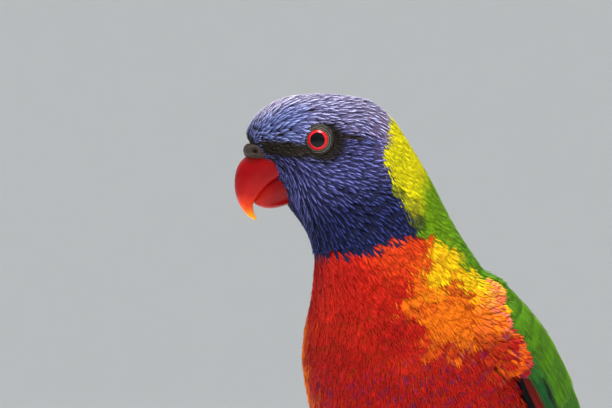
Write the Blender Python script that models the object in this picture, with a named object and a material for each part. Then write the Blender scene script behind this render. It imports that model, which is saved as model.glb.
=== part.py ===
"""A life-size rainbow lorikeet, perched on a cut length of branch that a plain display stand holds.

The bird faces -Y with its left side at +X, and its head is turned to its own right. The origin is at
the centre of the stand's underside. Sizes are written in millimetres and made metres as meshes are built.
"""

import math
import random

import bmesh
import bpy
from mathutils import Matrix, Vector
from mathutils.geometry import interpolate_bezier

MM = 0.001
GAP = 0.3

EYE_HEIGHT = 260.0
NECK_AXIS_Y = -45.5
EYE_AHEAD = 13.6
HEAD_TURN = math.radians(-40)

RING_SIDES = 32
BOXINESS = 2.25

# Cross-sections of head, neck and body, from the face to the root of the tail.
# Each: back and height of its upper edge, back and height of its lower edge, half width,
# share of the head's turn, and how much wider its upper half is than its lower half.
# Back is measured behind the neck's axis, height from the level of the eyes.
BODY_SECTIONS = (
    (-33.2, -1.0, -23.8, -17.4, 3.9, 1.0, 0.25),
    (-32.5, 3.2, -22.3, -19.1, 5.4, 1.0, 0.25),
    (-29.2, 7.7, -20.8, -21.2, 8.0, 1.0, 0.18),
    (-22.8, 11.6, -18.9, -23.5, 12.2, 1.0, 0.05),
    (-14.5, 13.3, -17.0, -26.3, 14.2, 1.0, 0.0),
    (-6.0, 13.5, -15.5, -29.5, 14.9, 1.0, -0.03),
    (2.6, 11.9, -14.6, -33.0, 15.6, 0.97, -0.03),
    (8.9, 6.7, -14.2, -36.5, 16.4, 0.9, 0.0),
    (13.6, -0.3, -14.0, -40.0, 17.6, 0.78, 0.0),
    (18.6, -8.3, -13.8, -44.0, 19.4, 0.62, 0.02),
    (23.6, -17.8, -13.7, -48.5, 21.8, 0.44, 0.05),
    (29.6, -27.6, -13.6, -54.0, 24.4, 0.26, 0.08),
    (37.0, -37.6, -13.8, -60.5, 28.0, 0.12, 0.13),
    (46.0, -48.0, -13.9, -68.0, 31.2, 0.03, 0.20),
    (53.0, -59.0, -13.0, -76.5, 33.0, 0.0, 0.28),
    (58.3, -70.0, -10.8, -87.0, 33.2, 0.0, 0.34),
    (62.8, -81.0, -5.5, -98.0, 32.2, 0.0, 0.36),
    (66.8, -92.0, 3.5, -108.0, 29.8, 0.0, 0.34),
    (70.4, -102.5, 15.5, -117.0, 26.0, 0.0, 0.24),
    (73.8, -112.5, 28.5, -125.0, 21.2, 0.0, 0.12),
    (76.8, -121.5, 41.0, -132.5, 16.4, 0.0, 0.0),
    (79.8, -130.0, 51.5, -140.0, 13.6, 0.0, 0.0),
    (84.2, -141.0, 62.5, -150.0, 11.4, 0.0, 0.0),
    (89.4, -154.0, 75.0, -161.5, 9.0, 0.0, 0.0),
    (95.0, -168.0, 90.0, -170.6, 5.5, 0.0, 0.0),
)
HEAD_SPAN = (0.0, 7.0)
NECK_SPAN = (7.0, 11.0)
TORSO_SPAN = (11.0, 21.0)
TAIL_ROOT_SPAN = (21.0, 24.0)

# Sections of the two halves of the bill, from root to tip, in the head's own plane.
UPPER_BILL = (
    (-26.5, -2.0, -18.5, -8.0, 6.2, 1.0, -0.08),
    (-31.8, -3.3, -22.0, -9.8, 6.3, 1.0, -0.10),
    (-34.6, -4.9, -24.6, -11.1, 6.0, 1.0, -0.12),
    (-36.7, -7.4, -27.2, -12.8, 5.6, 1.0, -0.15),
    (-37.7, -11.0, -29.3, -14.8, 4.9, 1.0, -0.18),
    (-37.6, -15.2, -31.2, -17.0, 3.8, 1.0, -0.15),
    (-36.5, -18.6, -32.3, -18.7, 2.7, 1.0, -0.10),
    (-34.9, -21.2, -32.3, -20.5, 1.7, 1.0, 0.0),
    (-33.3, -22.7, -31.8, -22.0, 1.0, 1.0, 0.0),
    (-31.6, -23.6, -31.2, -23.2, 0.35, 1.0, 0.0),
)
LOWER_BILL = (
    (-17.6, -9.0, -18.0, -17.6, 4.9, 1.0, 0.15),
    (-21.8, -9.2, -21.8, -19.0, 5.3, 1.0, 0.15),
    (-25.3, -10.0, -25.2, -20.0, 5.1, 1.0, 0.15),
    (-28.2, -11.8, -28.0, -20.2, 4.4, 1.0, 0.15),
    (-30.4, -14.2, -30.2, -19.7, 3.4, 1.0, 0.10),
    (-31.9, -16.6, -31.8, -18.8, 2.0, 1.0, 0.0),
)
BILL_SIDES = 16

CERE_CENTRE = (-30.2, -3.7)
CERE_RADII = (6.4, 5.0, 2.9)
CERE_TILT = math.radians(14)
NOSTRIL_PLACE = (-31.4, -2.9)
NOSTRIL_RADIUS = 0.95

EYE_RADIUS = 4.3
EYE_SIDE = 9.9
EYE_FORWARD_TURN = math.radians(12)
LID_RADIUS = 3.7
LID_THICKNESS = 1.0
LID_OUT = 3.0

VANE_THICKNESS = 1.1

TAIL_START = (77.2, -131.0)
TAIL_SLOPE = math.radians(68)
TAIL_LENGTH = 124.0
TAIL_PAIRS = 6

PERCH_RADIUS = 8.0
PERCH_BACK = 18.0
PERCH_HEIGHT = -141.0
PERCH_LENGTH = 104.0
FOOT_APART = 13.5

ROD_RADIUS = 2.6
ROD_APART = 37.0
ROD_SUNK = 4.0
BASE_WIDTH = 112.0
BASE_LENGTH = 158.0
BASE_THICKNESS = 10.0
BASE_CORNER = 20.0

COLOURS = {
    "head": (0.09, 0.10, 0.45, 0.6, 0.0),
    "bill": (0.75, 0.03, 0.01, 0.3, 0.0),
    "cere": (0.05, 0.04, 0.035, 0.6, 0.0),
    "eye": (0.55, 0.01, 0.01, 0.08, 0.0),
    "breast": (0.80, 0.10, 0.01, 0.7, 0.0),
    "green": (0.10, 0.32, 0.02, 0.6, 0.0),
    "feet": (0.12, 0.12, 0.13, 0.6, 0.0),
    "claw": (0.03, 0.03, 0.03, 0.35, 0.0),
    "branch": (0.20, 0.13, 0.08, 0.9, 0.0),
    "stand": (0.25, 0.14, 0.07, 0.4, 0.0),
    "rod": (0.55, 0.50, 0.40, 0.3, 1.0),
}

draw = random.Random(7)


def material(name):
    """A plain finish of that name, made once."""
    found = bpy.data.materials.get(name)
    if found:
        return found
    red, green, blue, roughness, metallic = COLOURS[name]
    made = bpy.data.materials.new(name)
    made.use_nodes = True
    shader = made.node_tree.nodes["Principled BSDF"]
    shader.inputs["Base Color"].default_value = (red, green, blue, 1.0)
    shader.inputs["Roughness"].default_value = roughness
    shader.inputs["Metallic"].default_value = metallic
    return made


def collection(name, shown):
    made = bpy.data.collections.new(name)
    bpy.context.scene.collection.children.link(made)
    made.hide_render = not shown
    return made


def add_object(name, shape, place, finish=None):
    """An object of that bmesh, whose numbers are millimetres."""
    mesh = bpy.data.meshes.new(name)
    shape.transform(Matrix.Scale(MM, 4))
    shape.to_mesh(mesh)
    shape.free()
    made = bpy.data.objects.new(name, mesh)
    place.objects.link(made)
    if finish:
        mesh.materials.append(material(finish))
    return made


def smooth_row(rows, at):
    """The row at a fractional place in a table, on a Catmull-Rom curve through its rows."""
    at = min(max(at, 0.0), len(rows) - 1.0)
    i = min(int(at), len(rows) - 2)
    t = at - i
    before, here, there, after = (
        rows[max(i - 1, 0)], rows[i], rows[i + 1], rows[min(i + 2, len(rows) - 1)]
    )
    weights = (
        -0.5 * t**3 + t**2 - 0.5 * t,
        1.5 * t**3 - 2.5 * t**2 + 1.0,
        -1.5 * t**3 + 2.0 * t**2 + 0.5 * t,
        0.5 * t**3 - 0.5 * t**2,
    )
    return [
        sum(w * row[k] for w, row in zip(weights, (before, here, there, after)))
        for k in range(len(here))
    ]


def turned(back, side, height, share=1.0):
    """A point behind the neck's axis, to the bird's left and above the eyes, at that share of the turn."""
    angle = HEAD_TURN * share
    x = side * math.cos(angle) - back * math.sin(angle)
    y = side * math.sin(angle) + back * math.cos(angle)
    return Vector((x, y + NECK_AXIS_Y, height + EYE_HEIGHT))


def ring(rows, at, sides, shift=0.0):
    """The points round one section, moved along the section's normal by shift, towards the tail."""
    back_up, height_up, back_low, height_low, half_width, share, egg = smooth_row(rows, at)
    upper = turned(back_up, 0.0, height_up, share)
    lower = turned(back_low, 0.0, height_low, share)
    centre = (upper + lower) / 2
    rise = (upper - lower) / 2
    left = turned(0.0, 1.0, 0.0, share) - turned(0.0, 0.0, 0.0, share)
    onward = rise.cross(left).normalized()
    points = []
    for k in range(sides):
        angle = 2 * math.pi * k / sides
        c, s = math.cos(angle), math.sin(angle)
        along = math.copysign(abs(c) ** (2 / BOXINESS), c)
        across = math.copysign(abs(s) ** (2 / BOXINESS), s) * (1 + egg * c)
        points.append(centre + rise * along + left * (half_width * across) + onward * shift)
    return points


def bridge(shape, rings, close_start=True, close_end=True):
    """A closed loft through rings that all have the same number of points."""
    loops = [[shape.verts.new(p) for p in points] for points in rings]
    for one, other in zip(loops, loops[1:]):
        for k in range(len(one)):
            n = (k + 1) % len(one)
            shape.faces.new((one[k], other[k], other[n], one[n]))
    if close_start:
        shape.faces.new(loops[0])
    if close_end:
        shape.faces.new(list(reversed(loops[-1])))
    bmesh.ops.recalc_face_normals(shape, faces=shape.faces)
    return loops


def loft(rows, start, end, count, sides, open_start=0.0, open_end=0.0):
    """A loft through a table of sections, with its ends drawn back by half a gap where asked."""
    shape = bmesh.new()
    rings = []
    for k in range(count + 1):
        shift = open_start if k == 0 else -open_end if k == count else 0.0
        rings.append(ring(rows, start + (end - start) * k / count, sides, shift))
    bridge(shape, rings)
    return shape


def grown(source, by, name):
    """A hidden copy of an object, a little larger all round."""
    shape = bmesh.new()
    shape.from_mesh(source.data)
    bmesh.ops.recalc_face_normals(shape, faces=shape.faces)
    shape.normal_update()
    moves = [(v, v.normal * (by * MM * min(v.calc_shell_factor(), 2.0))) for v in shape.verts]
    for v, move in moves:
        v.co += move
    mesh = bpy.data.meshes.new(name)
    shape.to_mesh(mesh)
    shape.free()
    made = bpy.data.objects.new(name, mesh)
    cutters.objects.link(made)
    return made


def applied(target, operation, other, solver="EXACT"):
    """Applies one Boolean to target. other is an object or a collection of closed meshes."""
    change = target.modifiers.new("change", "BOOLEAN")
    change.operation = operation
    change.solver = solver
    if isinstance(other, bpy.types.Collection):
        change.operand_type = "COLLECTION"
        change.collection = other
    else:
        change.object = other
    bpy.context.view_layer.update()
    graph = bpy.context.evaluated_depsgraph_get()
    mesh = bpy.data.meshes.new_from_object(target.evaluated_get(graph))
    old = target.data
    target.modifiers.remove(change)
    target.data = mesh
    bpy.data.meshes.remove(old)
    keep_largest(target)


def keep_largest(target):
    """Leaves only the closed surface that has the most volume."""
    shape = bmesh.new()
    shape.from_mesh(target.data)
    bmesh.ops.triangulate(shape, faces=shape.faces)
    left = set(shape.faces)
    islands = []
    while left:
        first = left.pop()
        island, edge_of_search = [first], [first]
        while edge_of_search:
            face = edge_of_search.pop()
            for edge in face.edges:
                for near in edge.link_faces:
                    if near in left:
                        left.discard(near)
                        island.append(near)
                        edge_of_search.append(near)
        islands.append(island)
    if len(islands) > 1:

        def volume(island):
            total = 0.0
            for f in island:
                a, b, c = (v.co for v in f.verts)
                total += a.dot(b.cross(c))
            return total

        islands.sort(key=volume)
        loose = [f for island in islands[:-1] for f in island]
        bmesh.ops.delete(shape, geom=loose, context="FACES")
    shape.to_mesh(target.data)
    shape.free()


def joined(target, pieces):
    """Unites a list of bmesh pieces with target in one Boolean, and removes them."""
    group = collection(target.name + "_pieces", False)
    for k, piece in enumerate(pieces):
        add_object(f"{target.name}_piece_{k}", piece, group)
    applied(target, "UNION", group, "MANIFOLD")
    for piece in list(group.objects):
        bpy.data.objects.remove(piece)
    bpy.data.collections.remove(group)


def vane(path, normals, widths, thickness, tilt):
    """A flat feather along a path: its faces are split alike, and its far end narrows.

    Tilt raises the edge that lies along normal x direction above the other one.
    """
    rings = []
    for k, (point, normal, width) in enumerate(zip(path, normals, widths)):
        onward = (path[min(k + 1, len(path) - 1)] - path[max(k - 1, 0)]).normalized()
        across = onward.cross(normal).normalized()
        up = across.cross(onward).normalized()
        side = across * math.cos(tilt) + up * math.sin(tilt)
        lift = up * math.cos(tilt) - across * math.sin(tilt)
        half, deep = side * (width / 2), lift * (thickness / 2)
        rings.append((point - half + deep, point + half + deep, point + half - deep, point - half - deep))
    shape = bmesh.new()
    loops = [[shape.verts.new(p) for p in points] for points in rings]
    for one, other in zip(loops, loops[1:]):
        for k in range(4):
            n = (k + 1) % 4
            if k == 2:
                shape.faces.new((one[k], other[k], one[n]))
                shape.faces.new((other[k], other[n], one[n]))
            else:
                shape.faces.new((one[k], other[k], other[n]))
                shape.faces.new((one[k], other[n], one[n]))
    shape.faces.new((loops[0][0], loops[0][1], loops[0][2], loops[0][3]))
    shape.faces.new((loops[-1][3], loops[-1][2], loops[-1][1], loops[-1][0]))
    bmesh.ops.recalc_face_normals(shape, faces=shape.faces)
    return shape


# Head, neck and body

def body_nodes():
    """The body in one line from face to tail root, parted by thin gaps square to its sections."""
    head = add_object("head", loft(BODY_SECTIONS, *HEAD_SPAN, 14, RING_SIDES, 0.0, GAP / 2), bird, "head")
    neck = add_object("neck", loft(BODY_SECTIONS, *NECK_SPAN, 5, RING_SIDES, GAP / 2, GAP / 2), bird, "green")
    torso = add_object(
        "torso", loft(BODY_SECTIONS, *TORSO_SPAN, 13, RING_SIDES, GAP / 2, GAP / 2), bird, "breast"
    )
    return head, neck, torso


# Bill, cere and eyes

def bill_and_cere(head):
    """The hooked upper half, the scoop of the lower half, and the bare cere across the root."""
    upper = add_object("bill_upper", loft(UPPER_BILL, 0, 9, 14, BILL_SIDES), bird, "bill")
    lower = add_object("bill_lower", loft(LOWER_BILL, 0, 5, 7, BILL_SIDES), bird, "bill")
    upper_grown = grown(upper, GAP, "cut_bill_upper")
    applied(lower, "DIFFERENCE", upper_grown)
    lower_grown = grown(lower, GAP, "cut_bill_lower")

    saddle = bmesh.new()
    bmesh.ops.create_uvsphere(saddle, u_segments=18, v_segments=10, radius=1.0)
    place = Matrix.Translation(turned(CERE_CENTRE[0], 0.0, CERE_CENTRE[1]))
    lean = Matrix.Rotation(HEAD_TURN, 4, "Z") @ Matrix.Rotation(-CERE_TILT, 4, "X")
    saddle.transform(place @ lean @ Matrix.Diagonal((*CERE_RADII, 1.0)))
    cere = add_object("cere", saddle, bird, "cere")
    applied(cere, "DIFFERENCE", upper_grown)
    cere_grown = grown(cere, GAP, "cut_cere")

    bore = bmesh.new()
    bmesh.ops.create_cone(
        bore, cap_ends=True, segments=12, radius1=NOSTRIL_RADIUS, radius2=NOSTRIL_RADIUS, depth=20.0
    )
    for side in (1, -1):
        hole = bore.copy()
        aim = Matrix.Rotation(HEAD_TURN, 4, "Z") @ Matrix.Rotation(math.radians(90), 4, "Y")
        at = turned(NOSTRIL_PLACE[0], side * 14.2, NOSTRIL_PLACE[1])
        hole.transform(Matrix.Translation(at) @ aim)
        applied(cere, "DIFFERENCE", add_object(f"cut_nostril_{side}", hole, cutters))
    bore.free()
    for cutter in (upper_grown, lower_grown, cere_grown):
        applied(head, "DIFFERENCE", cutter, "MANIFOLD")


def eyes(head):
    """Each eye is a ball in a socket, with a ring of bare lid that stands a little proud."""
    lids, sockets = [], []
    for name, side in (("left", 1), ("right", -1)):
        centre = turned(-EYE_AHEAD, side * EYE_SIDE, 0.0)
        aim = Matrix.Rotation(HEAD_TURN - side * EYE_FORWARD_TURN, 3, "Z") @ Vector((side, 0, 0))
        upright = aim.to_track_quat("Z", "Y").to_matrix().to_4x4()
        ball = bmesh.new()
        bmesh.ops.create_uvsphere(ball, u_segments=18, v_segments=8, radius=EYE_RADIUS)
        ball.transform(Matrix.Translation(centre) @ upright)
        add_object("eye_" + name, ball, bird, "eye")
        socket = bmesh.new()
        bmesh.ops.create_uvsphere(socket, u_segments=18, v_segments=8, radius=EYE_RADIUS + GAP)
        socket.transform(Matrix.Translation(centre) @ upright)
        sockets.append(add_object("cut_socket_" + name, socket, cutters))
        lid = bmesh.new()
        around = [
            [
                Vector((
                    (LID_RADIUS + LID_THICKNESS * math.cos(b)) * math.cos(a),
                    (LID_RADIUS + LID_THICKNESS * math.cos(b)) * math.sin(a),
                    LID_OUT + LID_THICKNESS * math.sin(b),
                ))
                for b in (2 * math.pi * j / 6 for j in range(6))
            ]
            for a in (2 * math.pi * i / 20 for i in range(21))
        ]
        bridge(lid, around, False, False)
        bmesh.ops.remove_doubles(lid, verts=lid.verts, dist=1e-4)
        bmesh.ops.recalc_face_normals(lid, faces=lid.faces)
        lid.transform(Matrix.Translation(centre) @ upright)
        lids.append(lid)
    joined(head, lids)
    for socket in sockets:
        applied(head, "DIFFERENCE", socket, "MANIFOLD")


# Wings

# The middle of the folded left wing, from the shoulder to the tip: side, back, height,
# then how far its outer face is turned to the rear, and the radius it curves with across.
WING_LINE = (
    (25.6, 31.2, -46.0, 40.0, 26.0),
    (32.0, 44.8, -65.0, 35.0, 29.0),
    (33.2, 56.4, -87.5, 32.0, 30.0),
    (26.0, 65.6, -109.5, 34.0, 28.0),
    (17.6, 74.8, -131.0, 40.0, 25.0),
    (12.6, 85.8, -152.5, 50.0, 23.0),
    (8.6, 98.2, -174.0, 60.0, 22.0),
)
WING_LENGTH = 150.0
WING_UNDERSIDE = -1.6

# Each tier: number of feathers, root and tip place along the wing of the first and last,
# root and tip place across of the first and last (plus is towards the belly), feather width,
# height above the wing's middle surface at the root and at the tip.
WING_TIERS = {
    "primary": (7, (50, 54), (149, 106), (14.5, 3.5), (3.0, -2.0), 11.0, -0.4, 0.0),
    "secondary": (7, (38, 44), (98, 84), (9.0, -13.5), (2.5, -10.5), 12.0, 0.9, 1.5),
    "primary_covert": (4, (32, 36), (69, 61), (14.5, 6.0), (13.0, 5.0), 9.5, 0.9, 1.6),
    "greater_covert": (6, (24, 28), (56, 52), (13.5, -14.5), (12.5, -14.0), 11.0, 1.4, 2.4),
    "median_covert": (6, (11, 14), (37, 34), (13.5, -14.5), (13.5, -14.5), 11.0, 1.7, 2.9),
    "lesser_covert": (5, (-1, 0), (21, 20), (10.0, -11.5), (11.5, -13.5), 11.5, 1.4, 3.2),
}
LONG_VANE = ((0.0, 0.6), (0.4, 1.0), (0.85, 0.9), (1.0, 0.3))
SHORT_VANE = ((0.0, 0.7), (0.65, 1.0), (1.0, 0.55))
SHINGLE_TILT = math.radians(5)


def wing_point(side, along, across, out):
    """A point on the folded wing: along it, across it towards the belly, and out from its middle surface."""
    share = along / WING_LENGTH * (len(WING_LINE) - 1)
    low = max(share, 0.0)
    here = smooth_row(WING_LINE, low)
    ahead = smooth_row(WING_LINE, low + 0.05)
    behind = smooth_row(WING_LINE, max(low - 0.05, 0.0))
    onward = (Vector(ahead[:3]) - Vector(behind[:3])).normalized()
    middle = Vector(here[:3]) + onward * (min(share, 0.0) * WING_LENGTH / (len(WING_LINE) - 1))
    rear = math.radians(here[3])
    outward = Vector((math.cos(rear), math.sin(rear), 0.0))
    outward = (outward - onward * outward.dot(onward)).normalized()
    belly = onward.cross(outward).normalized()
    bend = across / here[4]
    normal = outward * math.cos(bend) + belly * math.sin(bend)
    point = middle + belly * (here[4] * math.sin(bend)) + outward * (here[4] * (math.cos(bend) - 1))
    point = point + normal * out
    return (
        Vector((side * point.x, point.y + NECK_AXIS_Y, point.z + EYE_HEIGHT)),
        Vector((side * normal.x, normal.y, normal.z)),
    )


def arm_reach(along):
    """How far the arm under the coverts reaches to either side at a place along the wing."""
    return 17.3 * math.sin(math.pi * min(max((along + 7) / 83, 0.0), 1.0)) ** 0.45


def bed_reach(along):
    """The same for the bed that the whole wing lies in."""
    return 21.5 * min(1.0, (along + 7) / 14) ** 0.5 * min(1.0, (176 - along) / 80)


def underside(along):
    """How low the folded arm reaches towards the body, deepest at its middle."""
    return WING_UNDERSIDE - 3.6 * math.sin(math.pi * min(max((along - 6) / 70, 0.0), 1.0))


def wing_slab(side, reach, end, lower_by, crown_height):
    """A slab along the folded wing, from its underside up to a crowned upper face."""
    rings = []
    steps = 8
    for k in range(steps + 1):
        along = -6.0 + (end + 6.0) * (0.5 - 0.5 * math.cos(math.pi * k / steps))
        width = max(reach(along), 1.5)
        fade = math.sin(math.pi * min(max((along + 11) / (end + 16), 0.0), 1.0)) ** 0.6
        upper, lower = [], []
        for j in range(5):
            share = 2 * j / 4 - 1
            rise = 0.5 + crown_height * (1 - abs(share) ** 3) * fade
            upper.append(wing_point(side, along, width * share, WING_UNDERSIDE + rise)[0])
            lower.append(wing_point(side, along, width * share, underside(along) - lower_by)[0])
        rings.append(upper + lower[::-1])
    shape = bmesh.new()
    bridge(shape, rings)
    return shape


def wing_feathers(side):
    """The flight feathers and coverts, tier by tier, each feather over the next one towards the belly."""
    vanes = []
    for tier, row in WING_TIERS.items():
        count, roots, tips, root_across, tip_across, width, root_out, tip_out = row
        steps = SHORT_VANE if "covert" in tier else LONG_VANE
        for k in range(count):
            t = k / (count - 1)
            root = roots[0] + (roots[1] - roots[0]) * t
            tip = tips[0] + (tips[1] - tips[0]) * t + draw.uniform(-0.8, 0.8)
            start = root_across[0] + (root_across[1] - root_across[0]) * t
            end = tip_across[0] + (tip_across[1] - tip_across[0]) * t
            path, normals, widths = [], [], []
            for share, wide in steps:
                across = start + (end - start) * (share**1.2)
                out = root_out + (tip_out - root_out) * min(1.0, share * 2.2)
                point, normal = wing_point(side, root + (tip - root) * share, across, out)
                path.append(point)
                normals.append(normal)
                widths.append(width * wide)
            vanes.append(vane(path, normals, widths, VANE_THICKNESS, side * SHINGLE_TILT))
    return vanes


def wings(neck, torso):
    """Both folded wings, each lying in a bed that follows its underside."""
    for name, side in (("left", 1), ("right", -1)):
        arm = wing_slab(side, arm_reach, 68.0, 0.0, 4.0)
        wing = add_object("wing_" + name, arm, bird, "green")
        joined(wing, wing_feathers(side))
        bed = wing_slab(side, bed_reach, 170.0, 1.3, 28.0)
        bed = add_object("cut_bed_" + name, bed, cutters)
        for body in (neck, torso):
            applied(body, "DIFFERENCE", bed, "MANIFOLD")


# Tail


def tail_point(along, across, out):
    """A point on the closed tail: along it from the rump, to the left, and out from its upper face."""
    back = TAIL_START[0] + along * math.cos(TAIL_SLOPE)
    height = TAIL_START[1] - along * math.sin(TAIL_SLOPE)
    roof = out - abs(across) * 0.18
    point = Vector((across, back + roof * math.sin(TAIL_SLOPE), height + roof * math.cos(TAIL_SLOPE)))
    return point + Vector((0.0, NECK_AXIS_Y, EYE_HEIGHT))


def tail_vane(start, end, root_across, tip_across, out, width, tilt, steps):
    path = []
    for share, _ in steps:
        across = root_across + (tip_across - root_across) * share
        path.append(tail_point(start + (end - start) * share, across, out))
    normal = Vector((0.0, math.sin(TAIL_SLOPE), math.cos(TAIL_SLOPE)))
    widths = [width * wide for _, wide in steps]
    return vane(path, [normal] * len(path), widths, VANE_THICKNESS, tilt)


def tail():
    """The root under its coverts, and twelve graduated feathers with the middle pair on top."""
    node = add_object(
        "tail", loft(BODY_SECTIONS, *TAIL_ROOT_SPAN, 4, 24, GAP / 2, 0.0), bird, "green"
    )
    vanes = []
    for pair in range(TAIL_PAIRS):
        for side in (1, -1):
            lower = 0.35 if side < 0 else 0.0
            vanes.append(
                tail_vane(
                    28.0 - pair,
                    TAIL_LENGTH - pair * 10.5 - (1.2 if side < 0 else 0.0),
                    side * (1.2 + 0.9 * pair),
                    side * (2.0 + 1.6 * pair),
                    -0.2 - 0.7 * pair - lower,
                    11.5,
                    side * math.radians(-4),
                    LONG_VANE,
                )
            )
    for start, end, out in ((12.0, 46.0, 1.6), (24.0, 62.0, 0.7)):
        for across in (-5.0, 0.0, 5.0):
            reach = end - abs(across)
            vanes.append(tail_vane(start, reach, across * 0.8, across, out, 9.5, across * -0.02, SHORT_VANE))
    for start, end, out in ((16.0, 50.0, -6.6), (24.0, 66.0, -5.6)):
        for across in (-4.5, 0.0, 4.5):
            reach = end - abs(across)
            vanes.append(tail_vane(start, reach, across * 0.8, across, out, 10.0, across * 0.02, SHORT_VANE))
    joined(node, vanes)


# Legs and feet

THIGH_LINE = (
    (15.5, 13.0, -100.0, 12.0),
    (15.5, 18.0, -110.0, 10.5),
    (14.6, 22.5, -118.5, 6.8),
    (13.9, 24.0, -123.5, 4.2),
)
TARSUS_LINE = ((13.8, 23.6, -121.0, 2.6), (13.6, 22.0, -126.5, 2.5), (13.5, 19.5, -130.0, 2.9))
TOES = (
    ("inner_front", -4.2, -1, 98.0),
    ("outer_front", 4.2, -1, 108.0),
    ("inner_back", -3.6, 1, 74.0),
    ("outer_back", 3.6, 1, 92.0),
)
TOE_RADIUS = 2.1
CLAW_TURN = 36.0


def tube(points, radii, sides=8):
    """A closed round bar through points, as thick as radii say."""
    rings = []
    for k, point in enumerate(points):
        onward = (points[min(k + 1, len(points) - 1)] - points[max(k - 1, 0)]).normalized()
        side = onward.cross(Vector((1, 0.03, 0.02))).normalized()
        up = side.cross(onward)
        rings.append([
            point + (side * math.cos(a) + up * math.sin(a)) * radii[k]
            for a in (2 * math.pi * j / sides for j in range(sides))
        ])
    shape = bmesh.new()
    bridge(shape, rings)
    return shape


def leg_point(side, row):
    return Vector((side * row[0], row[1] + NECK_AXIS_Y, row[2] + EYE_HEIGHT))


def on_perch(side, across, front, turn, radius):
    """A point on the grip, round the branch from its top by turn degrees, a given distance from its axis."""
    angle = math.radians(turn)
    return Vector((
        side * across,
        PERCH_BACK + NECK_AXIS_Y + front * radius * math.sin(angle),
        PERCH_HEIGHT + EYE_HEIGHT + radius * math.cos(angle),
    ))


def legs(torso):
    """Feathered thighs, and bare feet with two toes forward and two back round the branch."""
    torso_grown = grown(torso, GAP, "cut_torso")
    for name, side in (("left", 1), ("right", -1)):
        rows = [smooth_row(THIGH_LINE, k * 3 / 6) for k in range(7)]
        rows = [(*THIGH_LINE[0][:2], THIGH_LINE[0][2] + 7.0, 8.5)] + rows
        shape = tube([leg_point(side, r) for r in rows], [r[3] for r in rows], 16)
        thigh = add_object("thigh_" + name, shape, bird, "green")
        applied(thigh, "DIFFERENCE", torso_grown)
        rows = [smooth_row(TARSUS_LINE, k * 2 / 4) for k in range(5)]
        shape = tube([leg_point(side, r) for r in rows], [r[3] for r in rows])
        foot = add_object("foot_" + name, shape, bird, "feet")
        toes = []
        for toe, apart, front, reach in TOES:
            points, radii = [], []
            for k in range(7):
                share = k / 6
                across = FOOT_APART + apart * (0.35 + 0.65 * min(1.0, share * 2.0))
                swell = 1.0 + 0.08 * math.cos(share * 3 * 2 * math.pi)
                thick = TOE_RADIUS * (1.08 - 0.34 * share) * swell
                turn = -8 + (reach + 8) * share
                points.append(on_perch(side, across, front, turn, PERCH_RADIUS + GAP + thick))
                radii.append(thick)
            toes.append(tube(points, radii))
            points, radii = [], []
            for k in range(6):
                share = k / 5
                thick = 1.25 * (1 - share) ** 0.8 + 0.18
                turn = reach + 2.2 + CLAW_TURN * share
                lift = 1.0 * math.sin(math.pi * min(share + 0.1, 1.0))
                points.append(
                    on_perch(side, FOOT_APART + apart, front, turn, PERCH_RADIUS + GAP + 0.15 + thick + lift)
                )
                radii.append(thick)
            add_object(f"claw_{name}_{toe}", tube(points, radii, 6), bird, "claw")
        joined(foot, toes)
        applied(foot, "DIFFERENCE", grown(thigh, GAP, "cut_thigh_" + name))


# Branch and stand

def perch_radius(along, angle):
    """The branch is round where the feet grip it, and knobbly towards its cut ends."""
    rough = min(max((abs(along) - 24.0) / 10.0, 0.0), 1.0)
    return PERCH_RADIUS + rough * (
        0.55 * math.sin(3 * angle + along * 0.09) + 0.5 * math.sin(along * 0.35 + 2 * angle) - 0.1
    )


def branch_and_stand():
    """A cut branch on two rods that stand in a wooden base."""
    rings = []
    steps = 13
    for k in range(steps + 1):
        along = -PERCH_LENGTH / 2 + PERCH_LENGTH * k / steps
        rings.append([
            Vector((
                along,
                PERCH_BACK + NECK_AXIS_Y + perch_radius(along, a) * math.cos(a),
                PERCH_HEIGHT + EYE_HEIGHT + perch_radius(along, a) * math.sin(a),
            ))
            for a in (2 * math.pi * j / 16 for j in range(16))
        ])
    shape = bmesh.new()
    bridge(shape, rings)
    perch = add_object("perch", shape, bird, "branch")

    shape = bmesh.new()
    bmesh.ops.create_cube(shape, size=1.0)
    shape.transform(Matrix.Diagonal((BASE_WIDTH, BASE_LENGTH, BASE_THICKNESS, 1)))
    shape.transform(Matrix.Translation((0, 0, BASE_THICKNESS / 2)))
    corners = [e for e in shape.edges if abs((e.verts[0].co - e.verts[1].co).z) > 1]
    bmesh.ops.bevel(
        shape, geom=corners, offset=BASE_CORNER, segments=5, profile=0.5, affect="EDGES", material=-1
    )
    rim = [e for e in shape.edges if all(v.co.z > BASE_THICKNESS - 0.01 for v in e.verts)]
    bmesh.ops.bevel(shape, geom=rim, offset=2.0, segments=2, profile=0.5, affect="EDGES", material=-1)
    base = add_object("stand_base", shape, bird, "stand")

    foot = BASE_THICKNESS - ROD_SUNK
    head = PERCH_HEIGHT + EYE_HEIGHT - PERCH_RADIUS + ROD_SUNK
    for name, side in (("left", 1), ("right", -1)):
        for label, radius, low, high in (
            ("stand_rod_", ROD_RADIUS, foot, head),
            ("cut_rod_", ROD_RADIUS + GAP, foot - GAP, head + GAP),
        ):
            shape = bmesh.new()
            bmesh.ops.create_cone(
                shape, cap_ends=True, segments=16, radius1=radius, radius2=radius, depth=high - low
            )
            middle = (low + high) / 2
            shape.transform(Matrix.Translation((side * ROD_APART, PERCH_BACK + NECK_AXIS_Y, middle)))
            made = add_object(label + name, shape, bird if label.startswith("stand") else cutters, "rod")
        applied(perch, "DIFFERENCE", made)
        applied(base, "DIFFERENCE", made)


def finish():
    """Shades the round pieces smooth, and hides every cutter."""
    for piece in bird.objects:
        piece.data.shade_smooth()
        piece.data.set_sharp_from_angle(angle=math.radians(35))
    for cutter in cutters.objects:
        cutter.hide_render = True
        cutter.display_type = "WIRE"


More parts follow.
